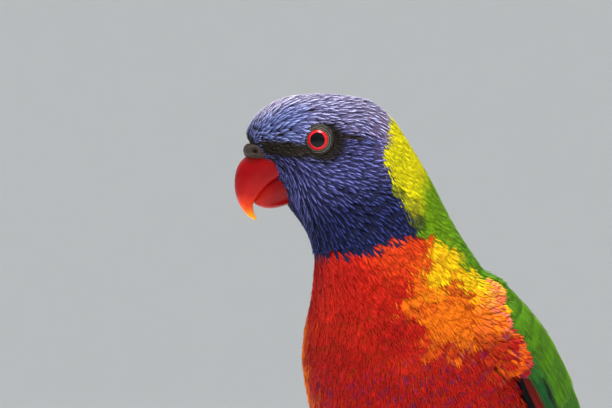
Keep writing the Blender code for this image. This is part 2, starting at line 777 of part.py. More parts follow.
for thing in list(bpy.data.objects):
    bpy.data.objects.remove(thing)
bird = collection("rainbow_lorikeet", True)
cutters = collection("cutters", False)
head_node, neck_node, torso_node = body_nodes()
bill_and_cere(head_node)
eyes(head_node)
wings(neck_node, torso_node)
tail()
legs(torso_node)
branch_and_stand()
finish()
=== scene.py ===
import math

import bmesh
import bpy
import numpy as np
from mathutils import Matrix, Vector, kdtree, noise
from mathutils.bvhtree import BVHTree


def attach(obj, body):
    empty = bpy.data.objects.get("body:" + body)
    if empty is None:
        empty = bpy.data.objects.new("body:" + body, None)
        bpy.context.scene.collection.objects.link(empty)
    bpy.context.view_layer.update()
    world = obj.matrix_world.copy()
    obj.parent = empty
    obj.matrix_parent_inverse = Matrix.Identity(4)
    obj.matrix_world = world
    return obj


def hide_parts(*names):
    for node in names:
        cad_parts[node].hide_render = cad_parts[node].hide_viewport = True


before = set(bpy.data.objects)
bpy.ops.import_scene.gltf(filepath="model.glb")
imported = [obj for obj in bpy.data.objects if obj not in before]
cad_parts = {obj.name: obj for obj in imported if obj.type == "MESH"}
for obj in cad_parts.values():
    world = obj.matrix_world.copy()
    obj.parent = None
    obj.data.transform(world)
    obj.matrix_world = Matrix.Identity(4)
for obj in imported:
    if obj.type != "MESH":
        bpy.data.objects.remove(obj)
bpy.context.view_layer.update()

chance = np.random.default_rng(11)


# Floor, light and camera.
# A pale floor that rises into a plain wall all round, far from the bird. A large soft lamp stands
# high at the camera's right, a broad weak one fills in from the front, and one lights the back.

def finish(name, colour, roughness=0.6, specular=0.5):
    """A material of one colour, and its shader to build on."""
    made = bpy.data.materials.new(name)
    made.use_nodes = True
    shader = made.node_tree.nodes["Principled BSDF"]
    shader.inputs["Base Color"].default_value = (*colour, 1.0)
    shader.inputs["Roughness"].default_value = roughness
    shader.inputs["Specular IOR Level"].default_value = specular
    return made, shader


def keep(name, shape, *materials):
    """The object of a finished bmesh, shaded smooth."""
    mesh = bpy.data.meshes.new(name)
    shape.to_mesh(mesh)
    shape.free()
    mesh.shade_smooth()
    made = bpy.data.objects.new(name, mesh)
    bpy.context.scene.collection.objects.link(made)
    for material in materials:
        mesh.materials.append(material)
    return made


def spun(profile, steps, join=1e-4):
    """A profile of radius and height turned round the upright axis."""
    shape = bmesh.new()
    points = [shape.verts.new((r, 0.0, z)) for r, z in profile]
    for one, other in zip(points, points[1:]):
        shape.edges.new((one, other))
    bmesh.ops.spin(
        shape, geom=shape.verts[:] + shape.edges[:], axis=(0, 0, 1), cent=(0, 0, 0),
        angle=2 * math.pi, steps=steps, use_merge=True,
    )
    bmesh.ops.remove_doubles(shape, verts=shape.verts, dist=join)
    bmesh.ops.recalc_face_normals(shape, faces=shape.faces)
    return shape


profile = [(0.0, 0.0), (1.0, 0.0), (2.5, 0.0), (5.0, 0.0)]
profile += [(5.0 + 4.0 * math.sin(a), 4.0 - 4.0 * math.cos(a)) for a in np.linspace(0.1, math.pi / 2, 14)]
profile += [(9.0, 6.0), (9.0, 9.0)]
paper = finish("pale_paper", (0.88, 0.89, 0.89), 0.9, 0.2)[0]
floor = keep("floor", spun(profile, 96, 1e-6), paper)

VIEW_AIM = Vector((-3.86, -64.99, 241.18)) * 0.001
VIEW_FROM = VIEW_AIM + Vector((0.70711, -0.70711, 0.0)) * 1.5
camera = bpy.data.objects.new("camera", bpy.data.cameras.new("camera"))
camera.data.sensor_width = 36.0
camera.data.lens = 300.0
camera.data.clip_end = 20.0
camera.location = VIEW_FROM
camera.rotation_euler = (VIEW_AIM - VIEW_FROM).to_track_quat("-Z", "Y").to_euler()
bpy.context.scene.collection.objects.link(camera)
bpy.context.scene.camera = camera


def lamp(name, place, size, power, tint, mirrored=True):
    data = bpy.data.lights.new(name, "AREA")
    data.shape = "DISK"
    data.size = size
    data.energy = power
    data.color = tint
    made = bpy.data.objects.new(name, data)
    made.location = place
    made.visible_glossy = mirrored
    made.rotation_euler = (Vector((0, -0.04, 0.2)) - Vector(place)).to_track_quat("-Z", "Y").to_euler()
    bpy.context.scene.collection.objects.link(made)


lamp("key", (0.32, -0.14, 1.55), 0.8, 34.0, (1.0, 0.985, 0.96))
lamp("fill", (1.5, -1.2, 0.7), 1.6, 5.0, (0.97, 0.98, 1.0), False)
lamp("back", (-1.0, 0.9, 1.4), 1.0, 14.0, (1.0, 1.0, 1.0), False)
world = bpy.data.worlds.new("pale_world")
world.use_nodes = True
world.node_tree.nodes["Background"].inputs["Color"].default_value = (0.90, 0.92, 0.94, 1.0)
world.node_tree.nodes["Background"].inputs["Strength"].default_value = 0.7
bpy.context.scene.world = world
bpy.context.scene.view_settings.view_transform = "Standard"


# Skin.
# One closed skin from the face to the root of the tail, with the thighs grown into it. It lies under
# the feathers by their depth, with their colours darkened by painted shade, as it shows where they part.

MM = 0.001
EYE_HEIGHT = 260.0
NECK_AXIS_Y = -45.5
HEAD_TURN = math.radians(-40)
ROUNDNESS = 2.25

# Each section, from face to tail: back and height of its upper edge, back and height of its lower
# edge, half width, share of the head's turn, and how much wider its upper half is.
BODY_SECTIONS = np.array((
    (-33.2, -1.0, -23.8, -17.4, 3.9, 1.0, 0.25),
    (-32.5, 3.2, -22.3, -19.1, 5.4, 1.0, 0.25),
    (-29.2, 7.7, -20.8, -21.2, 8.0, 1.0, 0.18),
    (-22.8, 11.6, -18.9, -23.5, 12.2, 1.0, 0.05),
    (-14.5, 13.3, -17.0, -26.3, 14.2, 1.0, 0.0),
    (-6.0, 13.5, -15.5, -29.5, 14.9, 1.0, -0.03),
    (2.6, 11.9, -14.6, -33.0, 15.6, 0.97, -0.03),
    (8.9, 6.7, -14.2, -36.5, 16.4, 0.9, 0.0),
    (13.6, -0.3, -14.0, -40.0, 17.6, 0.78, 0.0),
    (18.6, -8.3, -13.8, -44.0, 19.4, 0.62, 0.02),
    (23.6, -17.8, -13.7, -48.5, 21.8, 0.44, 0.05),
    (29.6, -27.6, -13.6, -54.0, 24.4, 0.26, 0.08),
    (37.0, -37.6, -13.8, -60.5, 28.0, 0.12, 0.13),
    (46.0, -48.0, -13.9, -68.0, 31.2, 0.03, 0.20),
    (53.0, -59.0, -13.0, -76.5, 33.0, 0.0, 0.28),
    (58.3, -70.0, -10.8, -87.0, 33.2, 0.0, 0.34),
    (62.8, -81.0, -5.5, -98.0, 32.2, 0.0, 0.36),
    (66.8, -92.0, 3.5, -108.0, 29.8, 0.0, 0.34),
    (70.4, -102.5, 15.5, -117.0, 26.0, 0.0, 0.24),
    (73.8, -112.5, 28.5, -125.0, 21.2, 0.0, 0.12),
    (76.8, -121.5, 41.0, -132.5, 16.4, 0.0, 0.0),
    (79.8, -130.0, 51.5, -140.0, 13.6, 0.0, 0.0),
    (84.2, -141.0, 62.5, -150.0, 11.4, 0.0, 0.0),
    (89.4, -154.0, 75.0, -161.5, 9.0, 0.0, 0.0),
    (95.0, -168.0, 90.0, -170.6, 5.5, 0.0, 0.0),
))
LAST_SECTION = 24.0
TRUNK_SHARE = 0.8  # of the unwrap's width: the thighs have the rest


def smooth_rows(rows, at):
    """The rows at fractional places in a table, on a smooth curve through it."""
    rows = np.asarray(rows, float)
    at = np.clip(np.asarray(at, float), 0.0, len(rows) - 1.0)
    i = np.minimum(at.astype(int), len(rows) - 2)
    t = (at - i)[..., None]
    return (
        rows[np.maximum(i - 1, 0)] * (-0.5 * t**3 + t**2 - 0.5 * t)
        + rows[i] * (1.5 * t**3 - 2.5 * t**2 + 1.0)
        + rows[i + 1] * (-1.5 * t**3 + 2.0 * t**2 + 0.5 * t)
        + rows[np.minimum(i + 2, len(rows) - 1)] * (0.5 * t**3 - 0.5 * t**2)
    )


def turned(back, side, height, share=1.0):
    """Points behind the neck's axis, to the bird's left and above the eyes, in metres."""
    angle = HEAD_TURN * np.asarray(share, float)
    x = side * np.cos(angle) - back * np.sin(angle)
    y = side * np.sin(angle) + back * np.cos(angle) + NECK_AXIS_Y
    z = height + EYE_HEIGHT + 0.0 * x
    return np.stack(np.broadcast_arrays(x, y, z), -1) * MM


def section_points(rows, at, angle, upper_round=ROUNDNESS, lower_round=ROUNDNESS):
    """Points round the sections of a table: angle 0 is the upper edge, and the left side comes next."""
    row = smooth_rows(rows, at)
    back_up, height_up, back_low, height_low, half_width, share, egg = np.moveaxis(row, -1, 0)
    upper = turned(back_up, 0.0, height_up, share)
    lower = turned(back_low, 0.0, height_low, share)
    left = turned(0.0, 1.0, 0.0, share) - turned(0.0, 0.0, 0.0, share)
    c, s = np.cos(angle), np.sin(angle)
    power = 2 / np.where(c > 0, upper_round, lower_round)
    along = np.sign(c) * np.abs(c) ** power
    across = np.sign(s) * np.abs(s) ** power * (1 + egg * c) * half_width
    return (upper + lower) / 2 + (upper - lower) / 2 * along[..., None] + left * across[..., None]


def ease(value, low, high):
    t = np.clip((value - low) / (high - low), 0.0, 1.0)
    return t * t * (3 - 2 * t)


def head_frame(place):
    """Back, side and height of points in the turned head, in millimetres."""
    x, y, z = np.moveaxis(place / MM, -1, 0)
    y = y - NECK_AXIS_Y
    c, s = math.cos(HEAD_TURN), math.sin(HEAD_TURN)
    return -x * s + y * c, x * c + y * s, z - EYE_HEIGHT


EYE_AHEAD = 13.6
EYE_DISH = 0.9
EYE_ZONE = 6  # farther than this from the middle, a place belongs to the eye's side


def eye_distance(place):
    """Millimetres from the nearer eye's axis, back and height from that eye, and side from the middle."""
    back, side, height = head_frame(place)
    return np.hypot(back + EYE_AHEAD, height), back + EYE_AHEAD, height, side


# The body's surface as a fine net over place along it and angle round it, to lay feathers on.
NET_AT = np.linspace(0.0, LAST_SECTION, 481)
NET_ANGLE = np.linspace(0.0, 2 * math.pi, 361)
net_at, net_angle = np.meshgrid(NET_AT, NET_ANGLE, indexing="ij")
net_place = section_points(BODY_SECTIONS, net_at, net_angle)
net_along = np.gradient(net_place, NET_AT, axis=0)
wrapped = np.concatenate([net_place[:, -2:-1], net_place, net_place[:, 1:2]], axis=1)
net_around = (wrapped[:, 2:] - wrapped[:, :-2]) / (2 * (NET_ANGLE[1] - NET_ANGLE[0]))
net_out = np.cross(net_around, net_along)
net_out /= np.linalg.norm(net_out, axis=-1, keepdims=True) + 1e-12
if ((net_place - net_place.mean(axis=1, keepdims=True)) * net_out).sum() < 0:
    net_out = -net_out
# The eyes lie in shallow dishes.
ring, _, _, side = eye_distance(net_place)
dish = EYE_DISH * (1 - ease(ring, 3.5, 8.0)) * (np.abs(side) > EYE_ZONE)
net_place = net_place - net_out * (dish * MM)[..., None]
# The feathers of the forehead stand full over the bare skin of the bill's root.
degrees = np.degrees(np.minimum(net_angle, 2 * math.pi - net_angle))
full = 1.5 * (1 - ease(degrees, 55.0, 100.0)) * ease(net_at, 0.0, 0.8) * (1 - ease(net_at, 2.0, 5.5))
net_place = net_place + net_out * (full * MM)[..., None]
net_patch = np.linalg.norm(np.cross(net_along, net_around), axis=-1)


def on_net(field, at, angle):
    """A field of the net at any place along and angle round the body."""
    u = np.clip(at / LAST_SECTION, 0.0, 1.0) * (len(NET_AT) - 1)
    v = (angle / (2 * math.pi)) % 1.0 * (len(NET_ANGLE) - 1)
    i, j = np.minimum(u.astype(int), len(NET_AT) - 2), np.minimum(v.astype(int), len(NET_ANGLE) - 2)
    fu, fv = (u - i), (v - j)
    if field.ndim == 3:
        fu, fv = fu[..., None], fv[..., None]
    return (
        field[i, j] * (1 - fu) * (1 - fv) + field[i + 1, j] * fu * (1 - fv)
        + field[i, j + 1] * (1 - fu) * fv + field[i + 1, j + 1] * fu * fv
    )


def coat_depth(at):
    """How deep the feathers lie over the skin, in millimetres."""
    return np.interp(at, (0.0, 2.0, 5.0, 8.0, 11.0, 24.0), (0.35, 0.55, 0.8, 1.1, 1.7, 1.7))


def blend(one, other, share):
    share = np.asarray(share)[..., None]
    return one * (1 - share) + other * share


def tone(red, green, blue):
    """A colour as a screen shows it, from 0 to 255, as linear light."""
    values = np.array((red, green, blue)) / 255.0
    return np.where(values <= 0.04045, values / 12.92, ((values + 0.055) / 1.055) ** 2.4)


CROWN_BROWN = tone(128, 84, 96)
LORES_BROWN = tone(52, 44, 36)
COLLAR_YELLOW = tone(226, 214, 4)
COLLAR_GREEN = tone(128, 166, 4)
COLLAR_OLIVE = tone(62, 74, 36)
BACK_GREEN = tone(98, 150, 4)
RUMP_GREEN = tone(48, 128, 14)
BREAST_RED = tone(222, 34, 10)
BREAST_DEEP = tone(182, 12, 6)
BREAST_ORANGE = tone(255, 120, 2)
BREAST_YELLOW = tone(255, 206, 0)
BREAST_PINK = tone(240, 112, 84)
EDGE_VIOLET = tone(66, 22, 92)
BELLY_BLUE = tone(38, 36, 128)
BELLY_DARK = tone(20, 18, 66)
VENT_YELLOW = tone(190, 196, 12)

# How far back the blue hood reaches, from the nape (0 degrees) round the side to the throat (180).
HOOD_EDGE = (
    (0.0, 36.0, 53.0, 60.5, 64.0, 70.0, 72.5, 75.0, 77.0,
     80.0, 86.0, 95.0, 106.0, 118.0, 138.0, 162.0, 180.0),
    (6.7, 6.9, 7.0, 7.2, 7.55, 7.85, 8.2, 8.9, 9.55, 9.62, 9.5, 9.12, 8.78, 8.28, 7.28, 6.33, 6.1),
)
COLLAR_EDGE = ((0.0, 20.0, 48.0, 57.0, 67.0, 76.0), (8.9, 9.05, 9.12, 9.25, 9.5, 9.7))
# The angle at which the green of the back meets the red of the side, along the body.
GREEN_EDGE = (
    (9.0, 9.7, 10.1, 10.4, 10.7, 11.4, 12.0, 13.0, 15.0, 16.5, 18.0, 24.0),
    (82.0, 79.0, 74.0, 68.0, 62.0, 61.0, 60.0, 58.0, 66.0, 84.0, 112.0, 120.0),
)
# The golden patch of the breast's near side: its front edge along the body, and that of its yellow.
GOLD_EDGE = (
    (9.9, 10.2, 10.6, 11.1, 11.8, 12.4, 13.0, 13.4, 13.8),
    (76.0, 90.0, 99.0, 112.0, 116.0, 114.0, 108.0, 96.0, 62.0),
)
YELLOW_EDGE = (
    (10.0, 10.3, 10.6, 11.1, 11.5, 12.1, 12.8, 13.2),
    (74.0, 80.0, 87.0, 95.0, 88.0, 80.0, 74.0, 60.0),
)


def side_angle(angle):
    """Degrees from the nape's middle, the same on both sides."""
    degrees = np.degrees(angle) % 360.0
    return np.where(degrees > 180.0, 360.0 - degrees, degrees)


# The head's colours by place, each for the pale shaft stripes and for the dark webs between them.
HEAD_TONES = {
    "cheek": (tone(112, 116, 190), tone(32, 29, 66)),
    # The crown's tones are its own blue lightened by a painted highlight; the sheen's are a painted
    # highlight only.
    "crown": (tone(182, 182, 234), tone(72, 62, 104)),
    "sheen": (tone(226, 222, 246), tone(132, 122, 160)),
    "forehead": (tone(154, 166, 230), tone(60, 66, 116)),
    "throat": (tone(50, 60, 128), tone(16, 17, 40)),
    "nape": (tone(186, 166, 192), tone(100, 70, 82)),
}


def hood_colours(place, around):
    """The head's stripe and web colours at places, the second at degrees from the middle of the nape."""
    back, _, height = head_frame(place)
    fore = 0.55 + 0.45 * ease(-back, 16, 24)
    shares = (
        ("crown", ease(height, 0.0, 7.0)),
        ("forehead", ease(-back, 17.0, 24.0) * ease(height, -4.0, 1.0)),
        ("nape", 0.8 * ease(back, -2.0, 9.0) * ease(height, -14.0, 0.0)),
        # A painted highlight pales the top of the head along its middle, most towards the forehead.
        ("sheen", (1 - ease(around, 14.0, 46.0)) * ease(height, 1.0, 8.0) * fore),
        ("throat", ease(-height + 0.35 * back, 5.0, 17.0)),
    )
    both = [np.broadcast_to(k, place.shape) for k in HEAD_TONES["cheek"]]
    for name, share in shares:
        both = [blend(one, other, share) for one, other in zip(both, HEAD_TONES[name])]
    return both


def markings_and_painted_light(at, angle, jitter):
    """The plumage's colour at places on the body, and the hood's share. jitter shifts them, in sections."""
    place = on_net(net_place, at, angle)
    height = head_frame(place)[2]
    around = side_angle(angle)
    left = (np.degrees(angle) % 360.0) < 180.0
    shift = at + jitter
    ripple = np.array([noise.noise(Vector(p) * 260) for p in place.reshape(-1, 3)]).reshape(at.shape)
    coarse = np.array([noise.noise(Vector(p) * 95 + Vector((3, 1, 7))) for p in place.reshape(-1, 3)])
    coarse = coarse.reshape(at.shape)

    streak, web = hood_colours(place, around)
    hood = blend(web, streak, np.full(at.shape, 0.25))
    # The red deepens in random mottles, and towards the lower breast as painted shade.
    red = blend(BREAST_RED, BREAST_DEEP, np.clip(0.35 + 0.9 * coarse + 0.75 * ease(-height, 40, 72), 0, 1))
    flush = (1 - ease(shift, 9.8, 10.6)) * ease(around, 74, 84) * (1 - ease(around, 100, 125))
    red = blend(red, BREAST_ORANGE, 0.2 * flush)
    wobble = 15.0 * ripple + 13.0 * coarse
    edge = np.interp(shift, *GOLD_EDGE)
    near = (1 - ease(around + wobble, edge - 9.0, edge + 7.0)) * ease(shift, 9.95, 10.3)
    far = (1 - ease(around + wobble, 143.0, 163.0)) * ease(shift, 10.3, 11.3)
    far = far * (1 - ease(shift, 14.4, 15.4))
    edge = np.interp(shift, *YELLOW_EDGE)
    bright = 1 - ease(around + 0.8 * wobble, edge - 7, edge + 7)
    bright = np.where(left, bright, 0.7 * (1 - ease(around, 110, 140)))
    warm = blend(BREAST_ORANGE, BREAST_YELLOW, np.clip(bright + 0.9 * ripple - 0.05, 0, 1))
    broken = 1 - 0.8 * ease(ripple - 0.6 * bright, 0.05, 0.35)
    red = blend(red, warm, np.clip(np.where(left, near, far) * broken, 0, 1))
    belly = blend(BELLY_BLUE, BELLY_DARK, np.clip(0.4 + coarse, 0, 1))
    lower = ease(shift + 0.5 * ripple, 15.3, 15.8) * ease(around + 14 * ripple, 88.0, 104.0)
    red = blend(red, belly, lower)
    vent = blend(RUMP_GREEN, VENT_YELLOW, np.clip(0.55 + 0.9 * ripple, 0, 1))
    red = blend(red, vent, ease(shift + 0.6 * ripple, 18.2, 18.9))

    green = blend(BACK_GREEN, RUMP_GREEN, ease(at, 11.0, 16.0))
    green = blend(green, COLLAR_GREEN, 0.55 * (1 - ease(at, 9.0, 11.5)))
    edge = np.interp(shift, *GREEN_EDGE)
    body = blend(green, red, ease(around + 5.0 * ripple, edge - 1.6, edge + 1.6))
    collar_end = np.interp(around, *COLLAR_EDGE)
    lime = ease(shift, collar_end - 0.45, collar_end + 0.1) + 0.3 * ripple + 0.35 * ease(around, 62.0, 76.0)
    collar = blend(COLLAR_YELLOW, COLLAR_GREEN, np.clip(lime, 0, 1))
    dull = ease(around + 8 * ripple, 64.0, 71.0) * ease(shift + ripple, 8.3, 9.1) * 0.9
    collar = blend(collar, COLLAR_OLIVE, dull)
    in_collar = (1 - ease(shift, collar_end - 0.1, collar_end + 0.25)) * (1 - ease(around, 76.0, 81.0))
    body = blend(body, collar, in_collar)
    hood_end = np.interp(around, *HOOD_EDGE)
    in_hood = 1 - ease(shift, hood_end - 0.05, hood_end + 0.05)
    return blend(body, hood, in_hood), in_hood


def wrap_sheet(shape, spans, steps_at, steps_angle, place_of, columns):
    """A sheet of squares, wrapped round by place_of(at, angle) and closed where its sides meet."""
    made = bmesh.ops.create_grid(shape, x_segments=steps_at, y_segments=steps_angle, size=1.0)["verts"]
    flat = np.array([v.co for v in made])
    lie = shape.loops.layers.uv.new("OFBake")
    for face in shape.faces:
        for corner in face.loops:
            x, y = (corner.vert.co.xy + Vector((1, 1))) / 2
            corner[lie].uv = (columns[0] + (columns[1] - columns[0]) * x, y)
    at = spans[0] + (flat[:, 0] + 1) / 2 * (spans[1] - spans[0])
    angle = (flat[:, 1] + 1) * math.pi
    for v, p in zip(made, place_of(at, angle)):
        v.co = p
    bmesh.ops.remove_doubles(shape, verts=made, dist=1e-7)
    rim = [e for e in shape.edges if e.is_boundary]
    bmesh.ops.holes_fill(shape, edges=rim, sides=0)
    bmesh.ops.recalc_face_normals(shape, faces=shape.faces)


def skin_place(at, angle):
    return on_net(net_place, at, angle) - on_net(net_out, at, angle) * (coat_depth(at) * MM)[:, None]


THIGH_LINE = (
    (15.0, 10.0, -92.0, 8.0),
    (15.5, 13.0, -100.0, 11.6),
    (15.5, 18.0, -110.0, 10.2),
    (14.6, 22.5, -118.5, 6.6),
    (13.9, 24.0, -123.5, 4.2),
)


def thigh_place(side, at, angle, deeper=0.0):
    """Points round a thigh, from inside the flank (0) to the bare shank (4)."""
    row = smooth_rows(THIGH_LINE, at)
    before, after = smooth_rows(THIGH_LINE, at - 0.1), smooth_rows(THIGH_LINE, at + 0.1)
    onward = (after - before)[..., :3] * (side, 1.0, 1.0)
    onward /= np.linalg.norm(onward, axis=-1, keepdims=True)
    out = np.cross(onward, np.broadcast_to((0.0, 1.0, 0.35), onward.shape))
    out /= np.linalg.norm(out, axis=-1, keepdims=True)
    other = np.cross(onward, out)
    radial = out * np.cos(angle)[..., None] + other * np.sin(angle)[..., None]
    centre = row[..., :3] * (side, 1.0, 1.0) + (0.0, NECK_AXIS_Y, EYE_HEIGHT)
    return (centre + radial * (row[..., 3] - deeper)[..., None]) * MM, radial, onward


skin_shape = bmesh.new()
wrap_sheet(skin_shape, (0.0, LAST_SECTION), 176, 104, skin_place, (0.0, TRUNK_SHARE))
skin = keep("skin", skin_shape)
for name, side in (("left", 1), ("right", -1)):
    shape = bmesh.new()
    columns = (0.83, 0.9) if side > 0 else (0.92, 0.99)
    wrap_sheet(shape, (0.0, 4.0), 24, 40, lambda at, angle: thigh_place(side, at, angle, 1.2)[0], columns)
    limb = keep("limb_" + name, shape)
    joint = skin.modifiers.new("limb", "BOOLEAN")
    joint.operation = "UNION"
    joint.solver = "EXACT"
    joint.object = limb
    bpy.context.view_layer.update()
    whole = bpy.data.meshes.new_from_object(skin.evaluated_get(bpy.context.evaluated_depsgraph_get()))
    skin.modifiers.clear()
    skin.data = whole
    bpy.data.objects.remove(limb)


# Feathers of the wings.
# The folded wing is a curved slab under tiers of green feathers: long flight feathers that reach past
# the rump, then coverts in shorter and shorter rows up to the shoulder. Each is laid over the next row.

def each_point(outline, columns, value_at):
    """A field by feather, row and column, from its values at each row's share and width and each column."""
    rows = [np.stack([value_at(share, t, wide) for t in columns], axis=1) for share, wide in outline]
    return np.stack(rows, axis=1)


def feather_mesh(name, points, colours, vane, cells, size, material, patch=(0.003, 0.003), mirrored=False):
    """Many closed feathers in one mesh.

    points is by feather, row and column, and its first and last rows are single ends. colours is the
    same with a colour. vane holds the outline and columns, cells each feather's place on the unwrap,
    where it has a small patch, and size the lengths and widths in millimetres, for its barbs. mirrored
    turns the faces over, for feathers whose places were mirrored.
    """
    if mirrored:
        points, colours = points[:, :, ::-1], colours[:, :, ::-1]
    bake = each_point(*vane, lambda share, t, wide: (
        cells + (patch[0] * t * wide / 2, patch[1] * (share - 0.5))
    ))
    weave = each_point(*vane, lambda share, t, wide: np.stack(
        np.broadcast_arrays(t * wide * size[1] / 2, share * size[0], cells[:, 0])[:2], axis=-1
    ))
    count, rows, columns = points.shape[:3]
    inner = rows - 2
    each = inner * columns + 2

    def packed(field):
        size = field.shape[-1]
        first, last = field[:, :1, columns // 2], field[:, -1:, columns // 2]
        middle = field[:, 1:-1].reshape(count, inner * columns, size)
        return np.concatenate([first, middle, last], axis=1).reshape(-1, size)

    def at(row, column):
        return 1 + row * columns + column % columns

    faces = []
    for c in range(columns):
        faces.append((0, at(0, c), at(0, c + 1)))
        faces.append((at(inner - 1, c), each - 1, at(inner - 1, c + 1)))
        for r in range(inner - 1):
            faces.append((at(r, c), at(r + 1, c), at(r + 1, c + 1)))
            faces.append((at(r, c), at(r + 1, c + 1), at(r, c + 1)))
    faces = np.array(faces)
    corners = (faces[None] + np.arange(count)[:, None, None] * each).reshape(-1)
    mesh = bpy.data.meshes.new(name)
    mesh.vertices.add(count * each)
    mesh.vertices.foreach_set("co", packed(points).astype(np.float32).ravel())
    mesh.loops.add(len(corners))
    mesh.loops.foreach_set("vertex_index", corners.astype(np.int32))
    mesh.polygons.add(len(corners) // 3)
    mesh.polygons.foreach_set("loop_start", np.arange(0, len(corners), 3, dtype=np.int32))
    mesh.update(calc_edges=True)
    mesh.validate()
    dye = mesh.attributes.new("plumage", "FLOAT_COLOR", "POINT")
    flat = np.pad(np.clip(packed(colours), 0.0, 1.0), ((0, 0), (0, 1)), constant_values=1.0)
    dye.data.foreach_set("color", flat.astype(np.float32).ravel())
    for label, field in (("OFBake", bake), ("vane", weave)):
        layer = mesh.uv_layers.new(name=label)
        layer.uv.foreach_set("vector", packed(field)[corners].astype(np.float32).ravel())
    mesh.shade_smooth()
    mesh.materials.append(material)
    made = bpy.data.objects.new(name, mesh)
    bpy.context.scene.collection.objects.link(made)
    return made


def lay(start, length, width, turn, outline, columns, step, surface, height):
    """Points of feathers laid on a surface: they run forward from their roots, and widen to both sides."""
    u, v = start
    last, rows = 0.0, []
    for share, wide in outline:
        u, v = step(u, v, (share - last) * length, 0.0 * length, turn)
        last = share
        row = []
        for t in columns:
            a, b = step(u, v, 0.0 * length, t * wide * width / 2, turn)
            row.append(surface(a, b, height(share, t, wide)))
        rows.append(np.stack(row, axis=1))
    return np.stack(rows, axis=1)


def wire(node, sockets):
    """Gives sockets of a shader node their values, or links other nodes' outputs to them."""
    for socket, value in sockets.items():
        if isinstance(value, bpy.types.NodeSocket):
            node.id_data.links.new(value, node.inputs[socket])
        else:
            node.inputs[socket].default_value = value


def grow(shader, kind, sockets, out=0, **settings):
    """Adds a node to a shader's tree, wired and set, and gives its output."""
    node = shader.id_data.nodes.new("ShaderNode" + kind)
    for setting, value in settings.items():
        setattr(node, setting, value)
    wire(node, sockets)
    return node.outputs[out]


def sums(shader, operation, *terms):
    return grow(shader, "Math", dict(enumerate(terms)), operation=operation)


def texture(shader, kind, sockets, out=0, place=None, **settings):
    """A texture on the object's own coordinates, which place can draw out and shift."""
    where = grow(shader, "TexCoord", {}, "Object")
    if place:
        where = grow(shader, "Mapping", {"Vector": where, **place})
    return grow(shader, "Tex" + kind, {"Vector": where, **sockets}, out, **settings)


def relief(shader, height, strength, distance, **settings):
    """Raises the shader's surface by a texture."""
    bump = grow(shader, "Bump", {"Height": height, "Strength": strength, "Distance": distance}, **settings)
    wire(shader, {"Normal": bump})


def speckle(shader, cloud, least, most):
    """A factor between two values that a noise gives."""
    return grow(shader, "MapRange", {
        "Value": cloud, "From Min": 0.3, "From Max": 0.7, "To Min": least, "To Max": most,
    })


def dyed(shader, attribute, factor):
    """Colours the shader by an attribute of its mesh, times a factor."""
    dye = grow(shader, "Attribute", {}, attribute_name=attribute)
    wire(shader, {"Base Color": grow(shader, "VectorMath", {0: dye, "Scale": factor}, operation="SCALE")})


def plumage(name, barbs, depth, roughness, ridges, mottle=0.12):
    """Feather stuff: dyed by its own attribute, with slanting barbs across each vane."""
    made, shader = finish(name, (0.1, 0.1, 0.1), roughness, 0.14)
    across = grow(shader, "SeparateXYZ", {0: grow(shader, "UVMap", {}, uv_map="vane")})
    slant = sums(shader, "MULTIPLY_ADD", sums(shader, "ABSOLUTE", across), -1.1, across.node.outputs["Y"])
    wave = sums(shader, "SINE", sums(shader, "MULTIPLY", slant, barbs))
    cloud = texture(shader, "Noise", {"Scale": 620.0, "Detail": 3.0})
    light = speckle(shader, cloud, 1.0 - mottle, 1.0 + mottle)
    dyed(shader, "plumage", sums(shader, "MULTIPLY_ADD", wave, ridges, light))
    relief(shader, wave, depth, 0.0001)
    return made


# The middle of the folded left wing, from the shoulder to the tip: side, back, height,
# then how far its outer face is turned to the rear, and the radius it curves with across.
WING_LINE = (
    (25.6, 31.2, -46.0, 40.0, 26.0),
    (32.0, 44.8, -65.0, 35.0, 29.0),
    (33.2, 56.4, -87.5, 32.0, 30.0),
    (26.0, 65.6, -109.5, 34.0, 28.0),
    (17.6, 74.8, -131.0, 40.0, 25.0),
    (12.6, 85.8, -152.5, 50.0, 23.0),
    (8.6, 98.2, -174.0, 60.0, 22.0),
)
WING_LENGTH = 150.0


def unit(vectors):
    return vectors / (np.linalg.norm(vectors, axis=-1, keepdims=True) + 1e-12)


def wing_place(side, along, across, out):
    """Points on the folded wing: along it, across it towards the belly, and out from its middle."""
    along, across, out = np.broadcast_arrays(*(np.asarray(k, float) for k in (along, across, out)))
    share = along / WING_LENGTH * (len(WING_LINE) - 1)
    low = np.maximum(share, 0.0)
    row = smooth_rows(WING_LINE, low)
    ahead = smooth_rows(WING_LINE, low + 0.05)
    behind = smooth_rows(WING_LINE, np.maximum(low - 0.05, 0.0))
    onward = unit((ahead - behind)[..., :3])
    beyond = (share - np.clip(share, 0.0, len(WING_LINE) - 1.0)) * WING_LENGTH / (len(WING_LINE) - 1)
    middle = row[..., :3] + onward * beyond[..., None]
    rear = np.radians(row[..., 3])
    outward = np.stack([np.cos(rear), np.sin(rear), 0.0 * rear], axis=-1)
    outward = unit(outward - onward * (outward * onward).sum(-1, keepdims=True))
    belly = unit(np.cross(onward, outward))
    radius = row[..., 4]
    bend = (across / radius)[..., None]
    normal = outward * np.cos(bend) + belly * np.sin(bend)
    point = middle + (belly * np.sin(bend) + outward * (np.cos(bend) - 1)) * radius[..., None]
    point = point + normal * out[..., None]
    return (point * (side, 1.0, 1.0) + (0.0, NECK_AXIS_Y, EYE_HEIGHT)) * MM


WING_UNDERSIDE = -1.6


def ringed(shape, rings):
    """Bridges one circle of vertices to the next through the given points, and closes both ends."""
    loops = []
    for points in rings:
        made = bmesh.ops.create_circle(shape, cap_ends=False, segments=len(points), radius=1.0)["verts"]
        for v, p in zip(made, points):
            v.co = p
        loops.append(list({e for v in made for e in v.link_edges}))
    for one, other in zip(loops, loops[1:]):
        bmesh.ops.bridge_loops(shape, edges=one + other)
    bmesh.ops.holes_fill(shape, edges=loops[0] + loops[-1], sides=0)
    bmesh.ops.recalc_face_normals(shape, faces=shape.faces)


